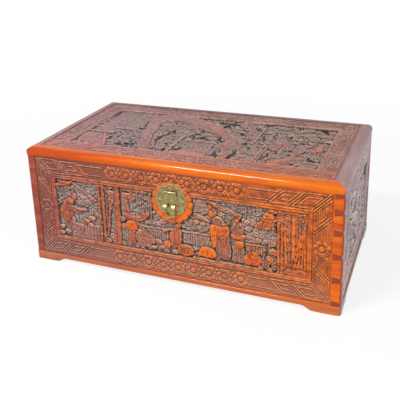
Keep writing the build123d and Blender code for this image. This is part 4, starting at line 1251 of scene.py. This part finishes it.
def connect(tree, node, values):
    """Sets a node's inputs, and links those whose value is a socket."""
    for key, value in values.items():
        if isinstance(value, bpy.types.NodeSocket):
            tree.links.new(value, node.inputs[key])
        else:
            node.inputs[key].default_value = value


def add(tree, kind, inputs=None, **settings):
    """Adds a node with its settings and inputs."""
    new = tree.nodes.new(kind)
    for key, value in settings.items():
        setattr(new, key, value)
    connect(tree, new, inputs or {})
    return new


def colour(red, green, blue):
    """A colour written as it looks on a screen, 0 to 255, as the shader takes it."""
    def linear(value):
        value /= 255
        return value / 12.92 if value <= 0.04045 else ((value + 0.055) / 1.055) ** 2.4
    return (linear(red), linear(green), linear(blue), 1.0)


def mix(tree, factor, first, second):
    """Goes from the first colour to the second as the factor rises."""
    return add(tree, "ShaderNodeMix", {0: factor, 6: first, 7: second}, data_type="RGBA").outputs[2]


def remap(tree, value, low, high, new_low=0.0, new_high=1.0):
    """Takes a value from one range to another, and keeps it there."""
    inputs = {"Value": value, "From Min": low, "From Max": high, "To Min": new_low, "To Max": new_high}
    return add(tree, "ShaderNodeMapRange", inputs).outputs["Result"]


def calc(tree, operation, first, second=0.0, clamp=False):
    """One step of arithmetic."""
    settings = {"operation": operation, "use_clamp": clamp}
    return add(tree, "ShaderNodeMath", {0: first, 1: second}, **settings).outputs[0]


def times(tree, first, second):
    """The product of two values."""
    return calc(tree, "MULTIPLY", first, second)


def noise(tree, scale, detail, roughness, stretch=(1, 1, 1), offset=(0, 0, 0)):
    """Noise in the piece's own space, stretched along the grain."""
    place = add(tree, "ShaderNodeTexCoord").outputs["Object"]
    turned = add(tree, "ShaderNodeMapping", {"Vector": place, "Scale": stretch, "Location": offset})
    inputs = {"Vector": turned.outputs[0], "Scale": scale, "Detail": detail, "Roughness": roughness}
    return add(tree, "ShaderNodeTexNoise", inputs).outputs["Fac"]


def new_material(name):
    """An empty material, its node tree and its shader."""
    material = bpy.data.materials.new(name)
    material.use_nodes = True
    tree = material.node_tree
    return material, tree, tree.nodes["Principled BSDF"]


def fibres(tree, direction):
    """The wood's fine fibres, along its grain."""
    return noise(tree, 700, 6, 0.6, GRAIN[direction])


def bump(tree, height, distance):
    """A fine unevenness, with its depth in metres."""
    return add(tree, "ShaderNodeBump", {"Height": height, "Distance": distance}).outputs[0]


def carving_marks(tree):
    """The painted shade, wear with painted highlight, glow and depth that the carved pieces carry on their
    points.
    """
    marks = add(tree, "ShaderNodeAttribute", attribute_name="carving")
    hollow_dirt_and_shade, wear_and_highlight, glow = add(tree, "ShaderNodeSeparateColor", {0: marks.outputs["Color"]}).outputs[:3]
    return hollow_dirt_and_shade, wear_and_highlight, glow, marks.outputs["Alpha"]


def place_parts(tree):
    """The piece's own x, y and z, in metres."""
    place = add(tree, "ShaderNodeTexCoord").outputs["Object"]
    return add(tree, "ShaderNodeSeparateXYZ", {0: place}).outputs


def along_front(tree, left, right):
    """A colour that changes from the chest's left to its right; on the front, painted light, warmer and
    brighter to the right.
    """
    x = place_parts(tree)[0]
    share = remap(tree, x, -0.8 * half_length * MM, 0.8 * half_length * MM)
    return mix(tree, share, colour(*left), colour(*right))


def lacquered(name, direction, deep, bright, roughness=0.3):
    """Polished stained camphor. Deep and bright are each a left and a right colour."""
    material, tree, shader = new_material(name)
    fibre = fibres(tree, direction)
    figure = noise(tree, 90, 4, 0.6, GRAIN[direction], (0.3, 0.1, 0.2))
    cloud = noise(tree, 16, 3, 0.5)
    tone = mix(tree, remap(tree, figure, 0.38, 0.66), along_front(tree, *deep), along_front(tree, *bright))
    tone = mix(tree, remap(tree, cloud, 0.35, 0.7, 0.0, 0.5), tone, along_front(tree, *deep))
    pores = remap(tree, fibre, 0.54, 0.7)
    tone = mix(tree, times(tree, pores, 0.4), tone, colour(84, 30, 12))
    rough = remap(tree, cloud, 0.3, 0.7, roughness - 0.06, roughness + 0.12)
    connect(tree, shader, {
        "Base Color": tone, "Roughness": rough, "Specular IOR Level": 0.1, "Coat Weight": 0.28,
        "Coat Roughness": 0.09, "Normal": bump(tree, fibre, 0.00015),
    })
    return material


def joined_board(name, direction, end_axis, deep, bright):
    """A dovetailed board: lacquered outside, darker end grain, bare wood inside."""
    material = lacquered(name, direction, deep, bright)
    tree = material.node_tree
    shader = tree.nodes["Principled BSDF"]
    face_tone = shader.inputs["Base Color"].links[0].from_socket
    normal = add(tree, "ShaderNodeTexCoord").outputs["Normal"]
    facing = calc(tree, "ABSOLUTE", add(tree, "ShaderNodeSeparateXYZ", {0: normal}).outputs[end_axis])
    rings = noise(tree, 1500, 3, 0.6)
    cut = mix(tree, remap(tree, rings, 0.4, 0.65), colour(132, 50, 24), colour(164, 70, 30))
    tone = mix(tree, remap(tree, facing, 0.5, 0.8), face_tone, cut)
    x, y, z = place_parts(tree)[:3]
    off_middle = calc(tree, "ABSOLUTE", calc(tree, "SUBTRACT", y, middle_depth * MM))
    inside = calc(tree, "LESS_THAN", calc(tree, "ABSOLUTE", x), inner_length * MM)
    for place, limit in ((off_middle, inner_depth), (z, lid_top + inside_margin)):
        inside = times(tree, inside, calc(tree, "LESS_THAN", place, limit * MM))
    tree.links.new(mix(tree, inside, tone, camphor_tone(tree, direction)), shader.inputs["Base Color"])
    return material


def carved_wood(name, direction, deep, mid, bright, ground, edge, hot, gloss=0.15, rub_and_highlight=0.6, pit_shade=0.0):
    """Stained carving: painted shade in the recesses, dusty ground, rubbed heights with painted highlights,
    brighter heights.

    The ground's two colours are shades, and the other pairs are a left and a right colour.
    """
    material, tree, shader = new_material(name)
    hollow_dirt_and_shade, wear_and_highlight, glow, depth = carving_marks(tree)
    fibre = fibres(tree, direction)
    cloud = noise(tree, 30, 4, 0.6)
    mottle = noise(tree, 150, 3, 0.6, offset=(0.4, 0.1, 0.7))
    speck = noise(tree, 420, 3, 0.65, offset=(0.2, 0.5, 0.1))
    tone = mix(tree, remap(tree, cloud, 0.35, 0.65), along_front(tree, *deep), along_front(tree, *mid))
    warm = times(tree, glow, remap(tree, mottle, 0.38, 0.58, 0.25, 0.95))
    tone = mix(tree, warm, tone, along_front(tree, *bright))
    tone = mix(tree, remap(tree, glow, 0.92, 1.0, 0.0, 0.8), tone, along_front(tree, *hot))
    sunk = times(tree, remap(tree, depth, 0.15, 0.7), remap(tree, glow, 0.0, 1.0, 0.95, 0.5))
    dust = mix(tree, remap(tree, speck, 0.38, 0.62), colour(*ground[0]), colour(*ground[1]))
    tone = mix(tree, sunk, tone, dust)
    # edges rubbed light, lightest on upper edges, in the edge colours: wear and a painted highlight
    rubbed_and_highlit = times(tree, wear_and_highlight, remap(tree, mottle, 0.35, 0.6, 0.25 * rub_and_highlight, rub_and_highlight))
    rubbed_and_highlit = times(tree, rubbed_and_highlit, remap(tree, glow, 0.5, 1.0, 1.0, 0.35))
    tone = mix(tree, rubbed_and_highlit, tone, along_front(tree, *edge))
    tone = mix(tree, times(tree, remap(tree, fibre, 0.52, 0.7), 0.35), tone, colour(96, 44, 28))
    # paler towards the bottom of the chest
    paling_top, paling_bottom, paling = 46, 12, 0.38
    low = remap(tree, place_parts(tree)[2], paling_top * MM, paling_bottom * MM, 0.0, paling)
    tone = mix(tree, low, tone, along_front(tree, (182, 144, 134), (212, 150, 120)))
    # darkened hollows and ground below raised edges: painted shade
    tone = mix(tree, remap(tree, hollow_dirt_and_shade, 0.14, 0.8, 0.0, 0.94), tone, colour(46, 34, 32))
    # the deepest cuts darkened: painted shade
    tone = mix(tree, remap(tree, depth, 0.86, 0.97, 0.0, pit_shade), tone, colour(40, 30, 32))
    rough = remap(tree, hollow_dirt_and_shade, 0.0, 0.5, 0.3, 0.6)
    height = calc(tree, "ADD", fibre, times(tree, speck, 2.0))
    connect(tree, shader, {
        "Base Color": tone, "Roughness": rough, "Specular IOR Level": gloss, "Coat Weight": 0.5 * gloss,
        "Coat Roughness": 0.16, "Normal": bump(tree, height, 0.0003),
    })
    return material


def camphor_tone(tree, direction):
    """The pale banded colour of unfinished camphor."""
    fibre = fibres(tree, direction)
    figure = noise(tree, 70, 4, 0.6, GRAIN[direction])
    tone = mix(tree, remap(tree, figure, 0.35, 0.68), colour(176, 128, 88), colour(206, 166, 122))
    return mix(tree, times(tree, remap(tree, fibre, 0.5, 0.7), 0.3), tone, colour(120, 78, 48))


def bare_wood(name, direction):
    """Unfinished camphor inside the chest."""
    material, tree, shader = new_material(name)
    fibre = fibres(tree, direction)
    connect(tree, shader, {
        "Base Color": camphor_tone(tree, direction), "Roughness": 0.62, "Specular IOR Level": 0.3,
        "Normal": bump(tree, fibre, 0.00015),
    })
    return material


def aged_brass(name, dull=(126, 107, 66), clean=(168, 149, 101)):
    """Dull brass, rubbed bright on its edges with a painted highlight on upper edges, and dark dirt in the
    hollows with painted shade below raised edges.
    """
    material, tree, shader = new_material(name)
    hollow_dirt_and_shade, wear_and_highlight, glow = carving_marks(tree)[:3]
    patches = noise(tree, 220, 5, 0.6)
    specks = noise(tree, 1600, 3, 0.6)
    tone = mix(tree, remap(tree, patches, 0.35, 0.65), colour(*dull), colour(*clean))
    tone = mix(tree, times(tree, glow, 0.3), tone, colour(206, 192, 146))
    tone = mix(tree, times(tree, remap(tree, specks, 0.52, 0.68), 0.6), tone, colour(84, 70, 42))
    # rubbed edges, lightest on upper edges: wear and a painted highlight
    tone = mix(tree, times(tree, wear_and_highlight, 0.4), tone, colour(236, 226, 190))
    # dark dirt in the hollows, and painted shade below raised edges
    tone = mix(tree, times(tree, hollow_dirt_and_shade, 0.9), tone, colour(52, 42, 26))
    rough = remap(tree, patches, 0.3, 0.7, 0.42, 0.26)
    connect(tree, shader, {
        "Base Color": tone, "Metallic": 0.9, "Roughness": rough, "Normal": bump(tree, specks, 0.0001),
    })
    return material


def dress_nodes(brass):
    """Gives every CAD node its finish."""
    # One lacquer in lit and shaded copies: the front's warm orange, brighter to the right, is painted light,
    # the back mouldings' darker colours painted shade, the ends' pale and the top's greyed mauve a painted
    # sheen; the plinth's front is paler
    warm_deep, warm_bright = ((184, 68, 6), (200, 80, 2)), ((230, 109, 8), (230, 122, 2))
    foot_deep, foot_bright = ((158, 84, 62), (190, 98, 46)), ((186, 110, 84), (214, 122, 62))
    sheen_deep, sheen_bright = ((126, 66, 58), (120, 70, 64)), ((166, 104, 94), (154, 104, 98))
    pale_deep, pale_bright = ((140, 88, 84), (140, 96, 94)), ((176, 126, 120), (176, 138, 136))
    far_deep, far_bright = ((106, 64, 60), (100, 66, 64)), ((140, 98, 94), (130, 98, 98))
    front_deep, front_bright = ((132, 62, 46), (196, 76, 8)), ((176, 88, 66), (240, 118, 10))
    back_bright = ((170, 84, 44), (180, 90, 40))
    front_trim = lacquered("trim_front", "x", warm_deep, warm_bright, 0.24)
    back_trim = lacquered("trim_back", "x", far_deep, far_bright)
    foot_trim = lacquered("trim_foot", "x", foot_deep, foot_bright)
    end_trim = lacquered("trim_ends", "y", pale_deep, pale_bright)
    front_wood = joined_board("boards_front", "x", 0, front_deep, front_bright)
    back_wood = joined_board("boards_back", "x", 0, warm_deep, back_bright)
    end_wood = joined_board("boards_ends", "y", 1, pale_deep, pale_bright)
    top_wood = joined_board("board_top", "x", 0, sheen_deep, sheen_bright)
    finish = {
        "front_board": front_wood, "lid_front_board": front_wood, "back_board": back_wood,
        "lid_back_board": back_wood, "bottom_board": bare_wood("camphor", "x"),
        "lid_top_panel": top_wood, "plinth_front": foot_trim, "lid_moulding_front": front_trim,
        "plinth_back": back_trim, "lid_moulding_back": back_trim,
    }
    for side in ("left", "right"):
        finish.update({f"{side}_board": end_wood, f"lid_{side}_board": end_wood})
        finish.update({f"plinth_{side}": end_trim, f"lid_moulding_{side}": end_trim})
    handled = aged_brass("brass_handled", (196, 182, 124), (232, 220, 166))
    finish.update({name: handled for name in ("lock_loop_left", "lock_loop_right", "hasp_pin")})
    finish["hasp"] = aged_brass("brass_hasp", (138, 121, 76), (186, 169, 117))
    for name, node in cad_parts.items():
        node.data.materials.clear()
        node.data.materials.append(finish.get(name, brass))


# Light, floor and camera
def seen_directly(tree):
    """One for camera, mirror and glass rays, which see the plain white background."""
    rays = add(tree, "ShaderNodeLightPath").outputs
    seen = calc(tree, "ADD", rays["Is Camera Ray"], rays["Is Glossy Ray"], True)
    return calc(tree, "ADD", seen, rays["Is Transmission Ray"], True)


def build_stage():
    """A pale floor that keeps the shadow, a white world and soft lamps."""
    light_strength, seen_strength = 0.36, 1.0
    shadow_reach, white_reach, nearby_white = 0.25, 0.8, 0.84
    world = bpy.data.worlds.new("studio")
    bpy.context.scene.world = world
    world.use_nodes = True
    tree = world.node_tree
    background = tree.nodes["Background"]
    background.inputs["Color"].default_value = (1, 1, 1, 1)
    strength = remap(tree, seen_directly(tree), 0, 1, light_strength, seen_strength)
    tree.links.new(strength, background.inputs["Strength"])

    floor_mesh = bpy.data.meshes.new("floor")
    reach = 6.0
    corners = [(-reach, -reach, 0), (reach, -reach, 0), (reach, reach, 0), (-reach, reach, 0)]
    floor_mesh.from_pydata(corners, [], [(0, 1, 2, 3)])
    floor = new_object("floor", floor_mesh)
    material, tree, shader = new_material("floor")
    connect(tree, shader, {"Base Color": (0.98, 0.98, 0.98, 1), "Roughness": 0.9, "Specular IOR Level": 0.0})
    white = add(tree, "ShaderNodeEmission", {"Color": (1, 1, 1, 1), "Strength": 1.0}).outputs[0]
    x, y = place_parts(tree)[:2]
    away = calc(tree, "SQRT", calc(tree, "ADD", times(tree, x, x), times(tree, y, y)))
    whiter = remap(tree, away, shadow_reach, white_reach, nearby_white, 1.0)
    share = times(tree, seen_directly(tree), whiter)
    both = add(tree, "ShaderNodeMixShader", {0: share, 1: shader.outputs[0], 2: white}).outputs[0]
    tree.links.new(both, tree.nodes["Material Output"].inputs["Surface"])
    floor_mesh.materials.append(material)

    def lamp(name, place, target, size, power):
        """A soft rectangular lamp that points at a target."""
        data = bpy.data.lights.new(name, "AREA")
        data.shape, data.size, data.size_y, data.energy = "RECTANGLE", *size, power
        item = new_object(name, data)
        item.location = place
        aim = Vector(target) - Vector(place)
        item.rotation_euler = aim.to_track_quat("-Z", "Y").to_euler()

    lamp("key", (-0.36, -0.80, 1.2), (0.02, -0.05, 0.12), (0.38, 0.15), 15)
    lamp("fill", (1.5, -0.9, 0.6), (0, 0, 0.07), (0.8, 0.8), 8)


def build_camera():
    """The photograph's camera, from the chest's corners in its 400 by 400 frame."""
    frame_pixels = 400
    azimuth, elevation, roll = (math.radians(value) for value in (22.055, 17.736, -1.651))
    focal_pixels = 625.7
    centre_rise_pixels = 80
    length = 400.0
    away_share = 1.998
    aim_along, aim_deep, aim_high = 0.495, 0.254, 0.447
    distance = away_share * length * MM
    aim = ((aim_along - 0.5) * length, aim_deep * length + moulding_low[1], aim_high * length)
    target = Vector(aim) * MM
    back = Vector((
        math.sin(azimuth) * math.cos(elevation),
        -math.cos(azimuth) * math.cos(elevation),
        math.sin(elevation),
    ))
    level = (-back).cross(Vector((0, 0, 1))).normalized()
    upright = level.cross(-back)
    right = math.cos(roll) * level + math.sin(roll) * upright
    up = math.cos(roll) * upright - math.sin(roll) * level
    data = bpy.data.cameras.new("camera")
    data.sensor_width = 36
    data.lens = focal_pixels * data.sensor_width / frame_pixels
    data.shift_y = -centre_rise_pixels / frame_pixels
    camera = new_object("camera", data)
    turn = Matrix((right, up, back)).transposed().to_4x4()
    camera.matrix_world = Matrix.Translation(target + distance * back) @ turn
    bpy.context.scene.camera = camera


def build():
    """Carves, finishes and lights the chest."""
    bpy.context.scene.view_settings.view_transform = "Standard"
    # the front's colours warm and brighten to the right: painted light; the top's and ends' paler mauve-grey
    # and near-white edges: painted sheen and painted highlights
    front_carving = carved_wood(
        "carving_front", "x",
        deep=((104, 48, 38), (112, 48, 20)), mid=((136, 68, 52), (148, 70, 28)),
        bright=((190, 92, 56), (242, 112, 2)), ground=((116, 106, 104), (172, 158, 152)),
        edge=((224, 176, 156), (246, 180, 112)), hot=((198, 84, 6), (244, 120, 0)),
    )
    top_carving = carved_wood(
        "carving_top", "x",
        deep=((118, 78, 80), (114, 76, 68)), mid=((156, 112, 112), (152, 110, 100)),
        bright=((196, 120, 110), (206, 120, 86)), ground=((74, 68, 68), (150, 138, 132)),
        edge=((246, 224, 220), (250, 224, 204)), hot=((196, 124, 116), (214, 98, 56)),
        gloss=0.14, rub_and_highlight=1.0, pit_shade=0.9,
    )
    end_carving = carved_wood(
        "carving_ends", "y",
        deep=2 * ((124, 96, 98),), mid=2 * ((160, 132, 134),),
        bright=2 * ((196, 156, 152),), ground=((116, 110, 112), (166, 158, 158)),
        edge=2 * ((248, 236, 234),), hot=2 * ((200, 150, 142),),
        gloss=0.16, rub_and_highlight=1.0,
    )
    brass = aged_brass("brass")
    dress_nodes(brass)
    front = Face((0, front_face, 0), (1, 0, 0), (0, 0, 1), (0, -1, 0))
    right = Face((half_length, middle_depth, 0), (0, 1, 0), (0, 0, 1), (1, 0, 0))
    left = Face((-half_length, middle_depth, 0), (0, -1, 0), (0, 0, 1), (-1, 0, 0))
    top = Face((0, middle_depth, chest_top), (1, 0, 0), (0, 1, 0), (0, 0, 1))
    plate_face = Face((0, front_face - plate_thickness, 0), (1, 0, 0), (0, 0, 1), (0, -1, 0))
    front_reach, end_reach = half_length - corner_strip, half_depth - corner_strip
    carve_upright("front", front, front_reach, front_cell, front_scene, front_rosettes, front_carving, boss)
    for name, face in (("right", right), ("left", left)):
        carve_upright(name, face, end_reach, end_cell, end_scene, end_rosettes, end_carving)
    carve_top(top, top_carving)
    chase_plate(plate_face, brass)
    build_stage()
    build_camera()


build()
